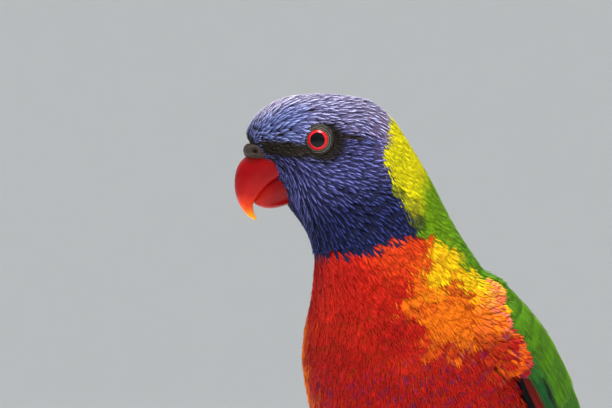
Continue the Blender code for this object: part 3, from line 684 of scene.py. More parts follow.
def wing_bed(side):
    """The slab of flesh and down that the feathers stand on."""
    rings = []
    for k in range(15):
        along = -6.0 + 74.0 * (0.5 - 0.5 * math.cos(math.pi * k / 14))
        reach = max(16.0 * math.sin(math.pi * min(max((along + 7) / 80, 0.0), 1.0)) ** 0.45, 1.2)
        deep = WING_UNDERSIDE - 3.4 * math.sin(math.pi * min(max((along - 6) / 66, 0.0), 1.0))
        fade = math.sin(math.pi * min(max((along + 11) / 86, 0.0), 1.0)) ** 0.6
        share = np.linspace(-1, 1, 13)
        crest = 3.2 * (1 - np.abs(share) ** 3) * fade
        top = wing_place(side, along, reach * share, WING_UNDERSIDE + 0.4 + crest)
        low = wing_place(side, along, reach * share, deep)
        rings.append(np.concatenate([top, low[::-1]]))
    return rings


COVERT_GREEN = tone(82, 134, 6)
COVERT_LIME = tone(142, 186, 8)
WING_GREEN = tone(36, 106, 20)
WING_TEAL = tone(16, 92, 44)
WING_BLACK = tone(18, 22, 24)
UNDER_RED = tone(122, 8, 6)

# Each tier: feathers, root and tip place along for the first and last, root and tip place across,
# width, height at the root and at the tip. Plus across is towards the belly.
WING_TIERS = (
    ("primary", 10, (49, 53), (149, 101), (15.0, 2.0), (3.6, -2.5), 9.5, -0.5, 0.0),
    ("secondary", 11, (36, 43), (99, 82), (9.5, -14.5), (3.0, -11.5), 10.0, 0.8, 1.5),
    ("primary_covert", 8, (32, 36), (70, 60), (15.6, 5.0), (14.0, 4.5), 7.5, 0.9, 1.7),
    ("greater_covert", 12, (24, 28), (57, 51), (14.5, -15.5), (13.5, -14.6), 8.0, 1.4, 2.4),
    ("median_covert", 13, (13, 16), (40, 36), (14.5, -15.8), (14.5, -15.6), 7.2, 1.8, 2.8),
    ("lesser_covert_4", 14, (7, 9), (27, 25), (13.6, -14.6), (14.0, -15.2), 6.2, 1.8, 3.0),
    ("lesser_covert_3", 14, (2, 4), (20, 18), (12.6, -13.6), (13.4, -14.4), 5.6, 1.7, 3.1),
    ("lesser_covert_2", 14, (-2, 0), (13, 12), (11.0, -12.2), (12.4, -13.0), 5.0, 1.5, 3.0),
    ("lesser_covert_1", 12, (-6, -4), (7, 6), (8.6, -9.6), (10.4, -11.0), 4.6, 1.2, 2.6),
)
LONG_OUTLINE = (
    (0.0, 0.0), (0.04, 0.35), (0.15, 0.72), (0.3, 0.92), (0.5, 1.0), (0.68, 0.98), (0.82, 0.86),
    (0.91, 0.66), (0.965, 0.4), (1.0, 0.0),
)
SHORT_OUTLINE = (
    (0.0, 0.0), (0.08, 0.4), (0.3, 0.8), (0.55, 1.0), (0.75, 0.97), (0.88, 0.78), (0.96, 0.45), (1.0, 0.0),
)
VANE_COLUMNS = (-1.0, -0.62, -0.3, 0.0, 0.3, 0.62, 1.0)
wing_vane = plumage("wing_feather", 14.0, 0.3, 0.5, 0.06, 0.08)
down_cloth = plumage("wing_down", 7.0, 0.6, 0.8, 0.05, 0.2)


BARB_OUTLINE = ((0.0, 0.0), (0.3, 1.0), (0.76, 0.72), (1.0, 0.0))
BARB_COLUMNS = (-1.0, 0.0, 1.0)
BARB_VANE = BARB_OUTLINE, BARB_COLUMNS


def whole(count, outline, place_on, colour_on):
    """Points and colours of a tier's feathers, from its places and colours by feather, share and column."""
    every = np.arange(count)
    return each_point(outline, VANE_COLUMNS, lambda share, t, wide: place_on(
        every, np.full(count, share), np.full(count, t), np.full(count, wide)
    )), each_point(outline, VANE_COLUMNS, lambda share, t, wide: colour_on(
        every, np.full(count, share), np.full(count, t)
    ))


def frayed(count, outline, width, place_on, colour_on):
    """Barbs slanting from each covert's shaft to its edge and a little beyond, and whose they are."""
    barbs = 22
    n = np.repeat(np.arange(count), barbs)
    lane = np.tile((np.arange(barbs) % 11 + 0.5) / 5.5 - 1, count) + chance.uniform(-0.07, 0.07, len(n))
    upper = np.tile(np.arange(barbs) >= 11, count)
    first = np.where(upper, 0.42, 0.24) + 0.12 * (1 - np.abs(lane)) + chance.uniform(-0.04, 0.04, len(n))
    last = np.where(upper, 1.05, 0.8) - 0.15 * lane**2 + chance.uniform(-0.04, 0.04, len(n))
    spread = np.interp(last, [k[0] for k in outline], [max(k[1], 0.66) for k in outline])
    tint = (0.86 + 0.28 * chance.random(len(n)))[:, None] * (0.9 + 0.2 * chance.random(count))[n][:, None]
    wide_mm = np.broadcast_to(width, count)[n]

    def at(q):
        return first + (last - first) * q, lane * (0.45 + 0.5 * q)

    def barb_place(q, c, wide):
        share, column = at(q)
        high = -0.05 + 0.3 * q**0.7 + 0.07 * (c == 0) * wide + 0.05 * upper
        return place_on(n, share, column + c * 0.68 * wide / wide_mm, spread, high)

    def barb_colour(q, c, wide):
        # Each barb is darker along its sides than down its middle: painted shade.
        return colour_on(n, *at(q)) * tint * (1.0 if c == 0 else 0.9)

    return each_point(*BARB_VANE, barb_place), each_point(*BARB_VANE, barb_colour), n


down_barb = plumage("wing_barb", 20.0, 0.25, 0.55, 0.10, 0.10)
wing_surfaces = []
for name, side in (("left", 1), ("right", -1)):
    shape = bmesh.new()
    ringed(shape, wing_bed(side))
    stain = shape.verts.layers.float_color.new("plumage")
    shape.loops.layers.uv.new("vane")
    # The bed is near black: painted shade under and between the wing's feathers.
    for v in shape.verts:
        v[stain] = (*(WING_BLACK * 0.6), 1.0)
    bed = keep("wing_bed_" + name, shape, down_cloth)
    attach(bed, "root")
    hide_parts("wing_" + name)
    wing_surfaces.append(bed)
    fringes = []
    for row, tier_row in enumerate(WING_TIERS):
        tier, count, roots, tips, root_across, tip_across, width, root_out, tip_out = tier_row
        t = np.linspace(0, 1, count)
        short = "covert" in tier
        outline = SHORT_OUTLINE if short else LONG_OUTLINE
        root = roots[0] + (roots[1] - roots[0]) * t
        tip = tips[0] + (tips[1] - tips[0]) * (t if short else t**0.8) + chance.uniform(-0.6, 0.6, count)
        start = root_across[0] + (root_across[1] - root_across[0]) * t
        end = tip_across[0] + (tip_across[1] - tip_across[0]) * t

        def vane_place(n, share, column, wide, extra=0.0):
            """Points on the tier's feathers n: share along, column across, and extra higher."""
            centre = start[n] + (end[n] - start[n]) * share**1.2
            web = np.where((column > 0) & (tier == "primary"), 0.72, 1.0)
            out = root_out + (tip_out - root_out) * np.minimum(1.0, share * 2.2)
            out = out - 0.085 * column * wide * width / 2
            out = out + 0.42 * (1 - column**2) * np.minimum(1.0, wide * 1.4) + 0.12 * (column == 0) + extra
            across = centre + column * web * wide * width / 2
            return wing_place(side, root[n] + (tip[n] - root[n]) * share, across, out)

        def vane_colour(n, share, column):
            centre = start[n] + (end[n] - start[n]) * share**1.2 + column * width * 0.4
            base = blend(COVERT_GREEN, WING_GREEN, ease(root[n], 5.0, 40.0))
            base = blend(base, COVERT_LIME, ease(-centre, 0.0, 12.0) * (0.62 if short else 0.34))
            base = blend(base, WING_TEAL, 0.7 * ease(centre, 8.0, 13.0))
            if tier == "primary":
                base = blend(base, WING_BLACK, 0.92 * ease(-column, -0.1, 0.5))
                base = blend(base, WING_BLACK, 0.85 * ease(share, 0.72, 0.95))
            if tier == "secondary":
                base = blend(base, WING_BLACK, 0.75 * ease(-column, 0.3, 0.9))
            if tier in ("median_covert", "greater_covert", "primary_covert"):
                upper = 1 - ease(root[n] + (tip[n] - root[n]) * share, 34.0, 46.0)
                dark = ease(centre, 10.6, 11.4) * (1 - ease(centre, 12.4, 13.0))
                base = blend(base, WING_BLACK, 0.9 * upper * dark)
                base = blend(base, WING_TEAL, 0.8 * ease(centre, 12.6, 13.4))
                base = blend(base, UNDER_RED, upper * ease(centre, 15.2, 15.9))
            edge = 0.28 * ease(np.abs(column), 0.6, 1.0) * ease(share, 0.3, 0.8)
            root_shade = 1.0 - (0.5 if short else 0.45) * (1 - share)
            shaft = np.where((column == 0) & (not short), 0.62, 1.0)
            return base * (root_shade * (1 + edge) * shaft)[..., None]

        def cells_of(owner):
            """The feathers' places on the unwrap, where each tier has a row."""
            across = 0.02 + 0.96 * (owner + 0.5) / count
            return np.stack([across, np.full(len(owner), (row + 0.5) / len(WING_TIERS))], axis=1)

        points, colours = whole(count, outline, vane_place, vane_colour)
        if short:
            # A covert's vane is darker than its own barbs: painted shade under the barbs.
            colours = colours * 0.85
            *barbs, owner = frayed(count, outline, width, vane_place, vane_colour)
            fringes.append((*barbs, cells_of(owner)))
        piece = feather_mesh(
            f"wing_{name}_{tier}", points, colours, (outline, VANE_COLUMNS), cells_of(np.arange(count)),
            (tip - root, width), wing_vane, (0.04, 0.09), side < 0,
        )
        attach(piece, "root")
        wing_surfaces.append(piece)
    points, colours, cells = [np.concatenate(k) for k in zip(*fringes)]
    piece = feather_mesh(
        f"wing_{name}_barbs", points, colours, BARB_VANE, cells, (4.0, 0.7), down_barb, mirrored=side < 0
    )
    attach(piece, "root")


# Feathers of the tail.
# Twelve stiff graduated feathers fold into a long wedge, the middle pair uppermost. Short coverts
# cover their roots above and below, and the side feathers have yellow inner edges underneath.

TAIL_START = (77.2, -131.0)
TAIL_SLOPE = math.radians(68)
TAIL_LENGTH = 124.0


def tail_place(along, across, out):
    """Points on the closed tail: along it from the rump, to the left, and out from its upper face."""
    along, across, out = np.broadcast_arrays(*(np.asarray(k, float) for k in (along, across, out)))
    back = TAIL_START[0] + along * math.cos(TAIL_SLOPE)
    height = TAIL_START[1] - along * math.sin(TAIL_SLOPE)
    roof = out - np.abs(across) * 0.18
    return turned(back + roof * math.sin(TAIL_SLOPE), across, height + roof * math.cos(TAIL_SLOPE), 0.0)


TAIL_GREEN = tone(36, 118, 28)
TAIL_YELLOW = tone(176, 178, 40)
TAIL_RED = tone(190, 70, 30)
tail_rows = []
for pair in range(6):
    for side in (1, -1):
        under = 0.35 if side < 0 else 0.0
        tail_rows.append((
            "quill", 27.0 - pair, TAIL_LENGTH - pair * 10.5 - (1.2 if side < 0 else 0.0),
            side * (1.2 + 0.9 * pair), side * (2.0 + 1.6 * pair), -0.2 - 0.7 * pair - under,
            11.0, side * -4.0,
        ))
for start, end, out in ((2.0, 24.0, 3.2), (8.0, 34.0, 2.6), (14.0, 44.0, 2.0), (24.0, 60.0, 1.0)):
    for across in (-6.0, -3.0, 0.0, 3.0, 6.0):
        tail_rows.append(("upper", start, end - abs(across), across * 0.8, across, out, 7.0, across * -1.2))
for start, end, out in ((14.0, 42.0, -7.6), (20.0, 52.0, -6.9), (26.0, 66.0, -6.0)):
    for across in (-5.4, -2.7, 0.0, 2.7, 5.4):
        tail_rows.append(("lower", start, end - abs(across), across * 0.8, across, out, 7.4, across * 1.2))
for kind in ("quill", "upper", "lower"):
    rows = [k for k in tail_rows if k[0] == kind]
    count = len(rows)
    start, end, root, tip, out, width, tilt = (np.array([k[n] for k in rows], float) for n in range(1, 8))
    outline = LONG_OUTLINE if kind == "quill" else SHORT_OUTLINE
    face = -1.0 if kind == "lower" else 1.0

    def plume_place(n, share, column, wide, extra=0.0):
        off = column * wide * width[n] / 2
        crown = 0.4 * (1 - column**2) * np.minimum(1.0, wide * 1.4) + 0.12 * (column == 0) + extra
        lift = out[n] + off * np.sin(np.radians(tilt[n])) + face * crown
        across = root[n] + (tip[n] - root[n]) * share + off
        return tail_place(start[n] + (end[n] - start[n]) * share, across, lift)

    def plume_colour(n, share, column):
        # The coverts darken towards their roots: painted shade under the coverts that overlap them.
        if kind == "lower":
            return blend(COVERT_LIME, VENT_YELLOW, 0.5) * (0.5 + 0.5 * share)[:, None]
        if kind == "upper":
            return blend(COVERT_GREEN, TAIL_GREEN, 0.4) * (0.45 + 0.6 * share)[:, None]
        inner = np.sign(-(root[n] + (tip[n] - root[n]) * share)) * column
        base = blend(TAIL_GREEN, TAIL_YELLOW, 0.65 * ease(inner, 0.1, 0.8) * ease(np.abs(tip[n]), 3.0, 6.0))
        base = blend(base, TAIL_RED, 0.35 * ease(inner, -0.2, 0.6) * (1 - ease(share, 0.4, 0.8)))
        base = blend(base, COVERT_LIME, 0.35 * ease(share, 0.8, 1.0))
        return base * np.where(column == 0, 0.6, 1.0)[:, None]

    cells = np.stack([(np.arange(count) + 0.5) / count, np.full(count, 0.5)], axis=1)
    parts = [("", *whole(count, outline, plume_place, plume_colour), (outline, VANE_COLUMNS), cells,
              (end - start, 11.0), wing_vane, (0.7 / count, 0.9))]
    if kind != "quill":
        *barbs, owner = frayed(count, outline, width, plume_place, plume_colour)
        parts.append(("_barbs", *barbs, BARB_VANE, cells[owner], (5.0, 0.7), down_barb))
    for label, *made in parts:
        piece = feather_mesh("tail_" + kind + label, *made, mirrored=kind == "lower")
        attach(piece, "root")
    if kind == "quill":
        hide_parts("tail")


# The skin's hollows and its colour in painted shade.
# Where a wing lies on the body the skin is pressed in under it, and then the whole skin is given the
# plumage's colours, darkened as painted shade where it shows between the feathers.

trees, wing_trees = [], []
for side in ("left", "right"):
    both = bmesh.new()
    for piece in (k for k in wing_surfaces if side in k.name):
        shape = bmesh.new()
        shape.from_mesh(piece.data)
        both.from_mesh(piece.data)
        trees.append(BVHTree.FromBMesh(shape))
        shape.free()
    wing_trees.append(BVHTree.FromBMesh(both))
    both.free()


ABOVE_SKIN, BELOW_SKIN, CLEARANCE = 0.008, 0.012, 0.0001


def under_wings(place, out):
    """How far each point stands above a wing's outer face, or zero where it stands above none."""
    above = np.zeros(len(place))
    for n, (p, o) in enumerate(zip(place, out)):
        p, o = Vector(p), Vector(o)
        for tree in trees:
            hit, _, _, depth = tree.ray_cast(p + o * ABOVE_SKIN, -o, BELOW_SKIN + ABOVE_SKIN)
            if hit is not None:
                above[n] = max(above[n], depth - ABOVE_SKIN + CLEARANCE)
    return above


shape = bmesh.new()
shape.from_mesh(skin.data)
bmesh.ops.recalc_face_normals(shape, faces=shape.faces)
lie = shape.loops.layers.uv["OFBake"]
spot = {}
for face in shape.faces:
    for corner in face.loops:
        spot[corner.vert.index] = tuple(corner[lie].uv)
shape.verts.ensure_lookup_table()
shape.normal_update()
where = np.array([spot[n] for n in range(len(shape.verts))])
trunk = where[:, 0] < TRUNK_SHARE + 0.005
skin_at = np.clip(where[:, 0] / TRUNK_SHARE, 0, 1) * LAST_SECTION
skin_angle = where[:, 1] * 2 * math.pi
chosen = np.nonzero(trunk & (skin_at > 10.5) & (skin_at < 21.5) & (side_angle(skin_angle) < 128))[0]
place = np.array([shape.verts[int(n)].co for n in chosen])
out = on_net(net_out, skin_at[chosen], skin_angle[chosen])
press = under_wings(place, out)
for n, o, p in zip(chosen, out, press):
    if p > 0:
        shape.verts[int(n)].co -= Vector(o) * p
stain = shape.verts.layers.float_color.new("plumage")
colour, in_hood = markings_and_painted_light(skin_at, skin_angle, np.zeros(len(skin_at)))
# Painted shade: the skin only shows between the feathers, so its colours are darkened, most under the hood.
colour = blend(colour * 0.6, colour * 0.25, in_hood)
ring, _, _, side = eye_distance(on_net(net_place, skin_at, skin_angle))
bristly = trunk & (((ring < 10.0) & (np.abs(side) > EYE_ZONE)) | (skin_at < 3.2))
colour[bristly] = LORES_BROWN * 0.4
colour[~trunk] = RUMP_GREEN * 0.5
for v, shade in zip(shape.verts, colour):
    v[stain] = (*shade, 1.0)
shape.to_mesh(skin.data)
shape.free()
skin.data.uv_layers.new(name="vane")
skin.data.shade_smooth()
skin.data.materials.append(down_cloth)
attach(skin, "root")
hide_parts("head", "neck", "torso", "thigh_left", "thigh_right")


# Feathers of the head.
# Narrow pointed feathers, each with a pale shaft stripe over a dark web, lie back from the bill over
# the crown and cheeks. They are shortest round the bill and the eyes, and end at the hood's edge.

def net_step(at, angle, forward, sideways, turn):
    """A step over the body's surface: forward is to the tail and sideways to the left of that."""
    along, around = on_net(net_along, at, angle), on_net(net_around, at, angle)
    out = on_net(net_out, at, angle)
    flow = unit(along)
    aside = unit(np.cross(out, flow))
    c, s = np.cos(turn), np.sin(turn)
    move = flow * (forward * c - sideways * s)[:, None] + aside * (forward * s + sideways * c)[:, None]
    move = move * MM
    a, b, d = (along * along).sum(-1), (along * around).sum(-1), (around * around).sum(-1)
    p, q = (move * along).sum(-1), (move * around).sum(-1)
    scale = np.maximum(a * d - b * b, 1e-14)
    return at + (p * d - q * b) / scale, angle + (q * a - p * b) / scale


def body_place(at, angle, height):
    """Points at a height in millimetres over the skin."""
    lift = (height - coat_depth(at)) * MM
    return on_net(net_place, at, angle) + on_net(net_out, at, angle) * lift[:, None]


def tree_of(places):
    """A search tree of places, numbered in their order."""
    tree = kdtree.KDTree(len(places))
    for n, p in enumerate(places):
        tree.insert(p, n)
    tree.balance()
    return tree


def scatter(tries, wanted, apart):
    """Places on the body that wanted allows. apart gives how near two may lie: on along, across."""
    weight = net_patch[:-1, :-1].ravel()
    cell = chance.choice(weight.size, size=tries, p=weight / weight.sum())
    i, j = np.unravel_index(cell, (len(NET_AT) - 1, len(NET_ANGLE) - 1))
    at = (i + chance.random(tries)) / (len(NET_AT) - 1) * LAST_SECTION
    angle = (j + chance.random(tries)) / (len(NET_ANGLE) - 1) * 2 * math.pi
    allowed = wanted(at, angle)
    at, angle = at[allowed], angle[allowed]
    place = on_net(net_place, at, angle) / MM
    flow = unit(on_net(net_along, at, angle))
    onward, aside = apart(at, angle)
    tree = tree_of(place)
    gone = np.zeros(len(at), bool)
    kept = []
    for n in range(len(at)):
        if gone[n]:
            continue
        kept.append(n)
        near = np.array([m for _, m, _ in tree.find_range(place[n], max(onward[n], aside[n]))])
        gap = place[near] - place[n]
        ahead = gap @ flow[n]
        beside = (gap * gap).sum(-1) - ahead**2
        gone[near[(ahead / onward[n]) ** 2 + beside / aside[n] ** 2 < 1.0]] = True
    return at[kept], angle[kept]


def unwrapped(at, angle):
    """Where places on the body lie on the skin's unwrap."""
    return np.stack([at / LAST_SECTION * TRUNK_SHARE, (angle / (2 * math.pi)) % 1.0], axis=1)


def hood_wanted(at, angle):
    ring, _, _, side = eye_distance(on_net(net_place, at, angle))
    hood_end = np.interp(side_angle(angle), *HOOD_EDGE)
    return (at < hood_end) & ((ring > LID_REACH) | (np.abs(side) < EYE_ZONE)) & (at > 0.1)


def hood_size(at, angle):
    """Length and width of the head's feathers: small at the bill and round the eyes."""
    ring, _, _, side = eye_distance(on_net(net_place, at, angle))
    by_bill = 1 - ease(at, 0.5, 3.3)
    by_eye = (1 - ease(ring, 4.8, 9.5)) * (np.abs(side) > EYE_ZONE)
    small = np.maximum(by_bill, by_eye)
    return 5.2 - 3.6 * small, 1.6 - 1.08 * small + 0.25 * ease(at, 6.0, 9.0)


def hood_apart(at, angle):
    length, width = hood_size(at, angle)
    return 0.33 * length, 0.46 * width


LID_REACH = 4.35
at, angle = scatter(90000, hood_wanted, hood_apart)
count = len(at)
draw = chance.random((8, count))
length, width = hood_size(at, angle)
length, width = length * (0.85 + 0.3 * draw[0]), width * (0.85 + 0.3 * draw[1])
ring, back, height, side = eye_distance(on_net(net_place, at, angle))
outer = np.abs(side) > EYE_ZONE
turn = (draw[2] - 0.5) * 0.16
# Round the eye the feathers part and run past it above and below.
past = np.clip(1 - ring / 11.0, 0, 1) * outer * np.sign(side)
past = past * 0.9 * np.sign(height + 0.01) * ease(-back, -6.0, 3.0)
# On the cheeks they fan out from the bill: steeply down beside it, and level behind the eye.
place = on_net(net_place, at, angle)
flow = unit(on_net(net_along, at, angle))
aside = unit(np.cross(on_net(net_out, at, angle), flow))
drop = np.interp(-height, (0.0, 6.0, 10.0, 15.0, 20.0, 30.0), (0.0, 3.0, 8.0, 20.0, 38.0, 58.0))
drop = drop + 60.0 * np.exp(-(((back + 10.4) / 6.0) ** 2)) * ease(-height, 3.0, 9.0)
drop = np.radians(np.minimum(drop, 75.0))
here = head_frame(place)
tilts = []
for way in (flow, aside):
    there = head_frame(place + way * 1e-4)
    tilts.append((there[0] - here[0]) * -np.sin(drop) - (there[2] - here[2]) * np.cos(drop))
level = np.arctan(-tilts[0] / np.where(np.abs(tilts[1]) < 1e-9, 1e-9, tilts[1]))
fan_share = ease(np.abs(side), 3.0, 7.0) * (1 - ease(height, -1.0, 4.0)) * (1 - ease(back, 14.0, 22.0))
turn = turn - past * (1 - fan_share) + np.clip(level, -1.1, 1.1) * fan_share
# None reaches over the lids.
clear = -back - np.sqrt(np.maximum((LID_REACH + 0.7) ** 2 - height**2, 0.0))
ahead = outer & (back < 0) & (np.abs(height) < LID_REACH + 0.6)
length = np.where(ahead, np.minimum(length, clear + 0.35), length)
# The hood's last feathers are shortened to end at its edge.
ragged = (draw[7] - 0.5) * 0.16
for _ in range(3):
    tip_at, tip_angle = net_step(at, angle, length, 0.0 * length, turn)
    over = tip_at - np.interp(side_angle(tip_angle), *HOOD_EDGE) - ragged
    length = length - np.maximum(over, 0.0) * np.linalg.norm(on_net(net_along, at, angle), axis=-1) / MM
chin = ease(side_angle(angle), 135.0, 155.0) * (1 - ease(at, 1.0, 2.2))
length = length * (1 + 0.9 * chin)
kept = length > 0.75
at, angle, length, width, turn, draw = (k[..., kept] for k in (at, angle, length, width, turn, draw))
count = len(at)
width = np.minimum(width, 0.62 * length)
place = on_net(net_place, at, angle)
ring, back, height, side = eye_distance(place)
outer = np.abs(side) > EYE_ZONE
around = side_angle(angle)
streak, web = hood_colours(place, around)
bright = (0.8 + 0.4 * draw[4])[:, None]
rusty = 0.55 * ease(draw[5], 0.5, 0.8) * ease(back, -2.0, 10.0) * ease(height, -6.0, 5.0)
web = blend(web, CROWN_BROWN * 0.75, rusty)
lores = (1 - ease(np.abs(height + 3.0 + 0.05 * back), 1.5, 2.8)) * ease(-back, -1.0, 2.5)
rim = np.where(height < -1.0, 6.9, 5.7)
lores = np.maximum(lores, (1 - ease(ring, rim - 1.2, rim)) * ease(back - 0.5 * height, -6.0, 1.0) * 0.9)
lores = np.maximum(lores, (1 - ease(ring, 4.9, 6.2)))
stripe = 1 - ease(np.abs(height - 1.2 - 0.2 * (back - 7)), 0.5, 1.5)
stripe = stripe * ease(back, 5, 6) * (1 - ease(back, 8.5, 11))
lores = np.maximum(lores, stripe) * outer
lores = np.maximum(lores, 1 - ease(at, 0.25, 0.9))
umber = LORES_BROWN * (0.6 + 1.0 * draw[5])[:, None]
streak, web = blend(streak * bright, umber, lores), blend(web, LORES_BROWN * 0.35, lores)
HOOD_OUTLINE = ((0.0, 0.0), (0.14, 0.6), (0.42, 1.0), (0.72, 0.86), (0.92, 0.4), (1.0, 0.0))
rise = coat_depth(at) * (0.7 + 0.3 * draw[6])


def fringe(start, length, width, turn, places, fan, step):
    """Starts, lengths and turns of the barbs that each feather frays into, and whose feather each is.

    places are where the barbs stand across the vane, from -1 to 1, and fan is how far they spread.
    """
    u, v = start
    parts = []
    for t in places:
        t = t + chance.uniform(-0.1, 0.1, len(u)) * (len(places) > 1)
        a, b = step(u, v, length * (0.10 + 0.22 * (1 - np.abs(t))), t * width * 0.28, turn)
        lean = turn + fan * (t + chance.uniform(-0.16, 0.16, len(u)))
        parts.append((a, b, length * (0.82 - 0.2 * t * t) * chance.uniform(0.9, 1.08, len(u)), lean))
    joined = [np.stack([part[n] for part in parts], axis=1).ravel() for n in range(4)]
    return joined, np.repeat(np.arange(len(u)), len(places))


def hood_height(share, t, wide):
    return -0.3 + (rise + 0.2) * share**0.8 + 0.05 * (1 - t * t) * wide * width


hood_barb = plumage("hood_feather", 30.0, 0.25, 0.6, 0.10, 0.10)
HOOD_VANE = HOOD_OUTLINE, BARB_COLUMNS
points = lay((at, angle), length, width, turn, *HOOD_VANE, net_step, body_place, hood_height)
# Each feather darkens towards its root: painted shade under the feathers that overlap it.
colours = each_point(*HOOD_VANE, lambda share, t, wide: (
    blend(web, streak, np.full(count, 0.2 * (t == 0))) * (0.7 + 0.3 * share)
))
piece = feather_mesh(
    "hood_feathers", points, colours, HOOD_VANE, unwrapped(at, angle), (length, width), hood_barb
)
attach(piece, "root")
for name, stems, fan, wide_share, high in (
    ("hood_barbs", (-0.86, -0.45, 0.45, 0.86), 0.16, 0.25, 0.05), ("hood_stripes", (0.0,), 0.0, 0.36, 0.17),
):
    (barb_at, barb_angle, barb_length, barb_turn), owner = fringe(
        (at, angle), length, width, turn, stems, fan, net_step
    )
    draw = chance.random((3, len(barb_at)))
    barb_width = wide_share * width[owner] * (0.85 + 0.3 * draw[0])
    barb_rise = rise[owner] + high + 0.06 * draw[1]

    def barb_height(share, t, wide):
        return (barb_rise + 0.15) * share**0.75 - 0.15 + 0.16 * barb_width * (1 - t * t) * wide

    def barb_colour(share, t, wide):
        lit = pale * ease(np.float64(share), 0.0, 0.45) * (1.0 if t == 0 else 0.72)
        return blend(web[owner], streak[owner], np.full(len(owner), lit)) * (0.8 + 0.4 * draw[2])[:, None]

    pale = 1.0 if name == "hood_stripes" else 0.16
    points = lay(
        (barb_at, barb_angle), barb_length, barb_width, barb_turn, *BARB_VANE, net_step, body_place,
        barb_height,
    )
    piece = feather_mesh(
        name, points, each_point(*BARB_VANE, barb_colour), BARB_VANE, unwrapped(barb_at, barb_angle),
        (barb_length, barb_width), hood_barb,
    )
    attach(piece, "root")


# Feathers of the neck, breast and back.
# Soft rounded feathers that overlap like tiles, each frayed into fine barbs that hide its outline. The
# breast's are red with golden patches and a thin violet edge low down, and the back's are plain green.

def body_wanted(at, angle):
    hood_end = np.interp(side_angle(angle), *HOOD_EDGE)
    return (at > hood_end - 0.95) & (at < 22.3)


def body_size(at, angle):
    around = side_angle(angle)
    collar = (1 - ease(at, 9.2, 10.4)) * (1 - ease(around, 74.0, 86.0))
    return 7.4 - 2.2 * collar + 1.4 * ease(at, 14, 17), 5.0 - 2.6 * collar, collar


def body_apart(at, angle):
    length, width, _ = body_size(at, angle)
    return 0.27 * length, 0.33 * width


WING_SEEK = 0.014
NO_WING = -99.0


def wing_tops(place, out, side):
    """How high the wing's outer face stands over each point, in millimetres, or NO_WING."""
    found = np.full(len(place), NO_WING)
    for n, (p, o) in enumerate(zip(place, out)):
        p, o = Vector(p), Vector(o)
        hit, _, _, depth = wing_trees[side[n]].ray_cast(p + o * WING_SEEK, -o, WING_SEEK + 0.005)
        if hit is not None:
            found[n] = (WING_SEEK - depth) / MM
    return found


# A cloth drawn over the wings' edges: how high it stands over the skin. The feathers that hide those
# edges lie on it.
coarse_at, coarse_angle = NET_AT[::3], NET_ANGLE[::3]
grid_at, grid_angle = np.meshgrid(coarse_at, coarse_angle, indexing="ij")
spots = body_place(grid_at.ravel(), grid_angle.ravel(), np.zeros(grid_at.size))
beside = ((grid_at > 9.5) & (grid_at < 21.5) & (side_angle(grid_angle) < 132)).ravel()
heights = np.full(grid_at.size, NO_WING)
normals = on_net(net_out, grid_at.ravel(), grid_angle.ravel())
wing_side = (grid_angle.ravel() > math.pi).astype(int)
heights[beside] = wing_tops(spots[beside], normals[beside], wing_side[beside])
under = heights > 0.3
tree = tree_of(spots[under])
tops_under = heights[under]
drape = np.where(under, heights - 0.5, 0.0)
for m in np.nonzero(beside & ~under)[0]:
    near = tree.find_n(Vector(spots[m]), 3)
    drape[m] = max(0.0, np.mean([tops_under[k] - 0.5 - 0.85 * max(d / MM - 2.0, 0.0) for _, k, d in near]))
drape = drape.reshape(grid_at.shape)
floor_under = np.where(under, heights - 0.5, 0.0).reshape(grid_at.shape)
for _ in range(2):
    inner = drape[1:-1] * 2 + drape[:-2] + drape[2:]
    drape = np.concatenate([drape[:1], inner / 4, drape[-1:]])
    drape = (drape * 2 + np.roll(drape, 1, axis=1) + np.roll(drape, -1, axis=1)) / 4
    drape = np.maximum(drape, floor_under)
drape = np.array([np.interp(NET_AT, coarse_at, column) for column in drape.T]).T
drape = np.array([np.interp(NET_ANGLE, coarse_angle, row) for row in drape])
BODY_OUTLINE = ((0.0, 0.0), (0.14, 0.5), (0.42, 0.9), (0.7, 1.0), (0.9, 0.72), (1.0, 0.0))
BODY_COLUMNS = (-1.0, -0.5, 0.0, 0.5, 1.0)
BODY_VANE = BODY_OUTLINE, BODY_COLUMNS
at, angle = scatter(70000, body_wanted, body_apart)
on_right = (np.degrees(angle) % 360.0) > 180.0
place, out = body_place(at, angle, np.full(len(at), 1.0)), on_net(net_out, at, angle)
by_wing = (at > 10.0) & (at < 21.5) & (side_angle(angle) < 128)
tops = np.full(len(at), NO_WING)
tops[by_wing] = wing_tops(place[by_wing], out[by_wing], on_right[by_wing].astype(int))
fore = side_angle(angle) > 45.0
bare = at > np.where(fore, 13.9, 16.8)
covered = (tops > np.where(bare, -5.0, 0.3)) & (tops < 8.0)


def nearest_of(chosen):
    """The nearest chosen place to each of the rest: which, and how far in millimetres."""
    tree = tree_of(place[chosen])
    found = [tree.find(p) for p in place]
    return np.array([k[1] for k in found]), np.array([k[2] for k in found]) / MM


margin = np.where(fore, 1.3, 2.6 * (1 - ease(at, 12.8, 14.6))) * ~bare
margin = covered & (nearest_of(~covered & (tops < 0.3))[1] < margin)
wing_node, wing_gap = nearest_of(covered)
kept = ~covered | margin
wing_angle = side_angle(angle[covered])[wing_node][kept]
wing_near = 1 - ease(wing_gap[kept], 2.0, 9.0)
beneath = tops[kept] >= 8.0
at, angle, on_right, margin = at[kept], angle[kept], on_right[kept], margin[kept]
around = side_angle(angle)
draw = chance.random((8, len(at)))
length, width, collar = body_size(at, angle)
length, width = length * (0.85 + 0.3 * draw[0]), width * (0.85 + 0.3 * draw[1])
ahead_of_wing = around > np.where(margin, 62.0, wing_angle)
over_wing = np.where(ahead_of_wing, at < 13.9, at < 15.8) & (wing_near > 0) & ~beneath
kept = over_wing | ~margin
at, angle, on_right, around, wing_near, ahead_of_wing, over_wing, draw, length, width, collar = (
    k[..., kept] for k in (
        at, angle, on_right, around, wing_near, ahead_of_wing, over_wing, draw, length, width, collar
    )
)
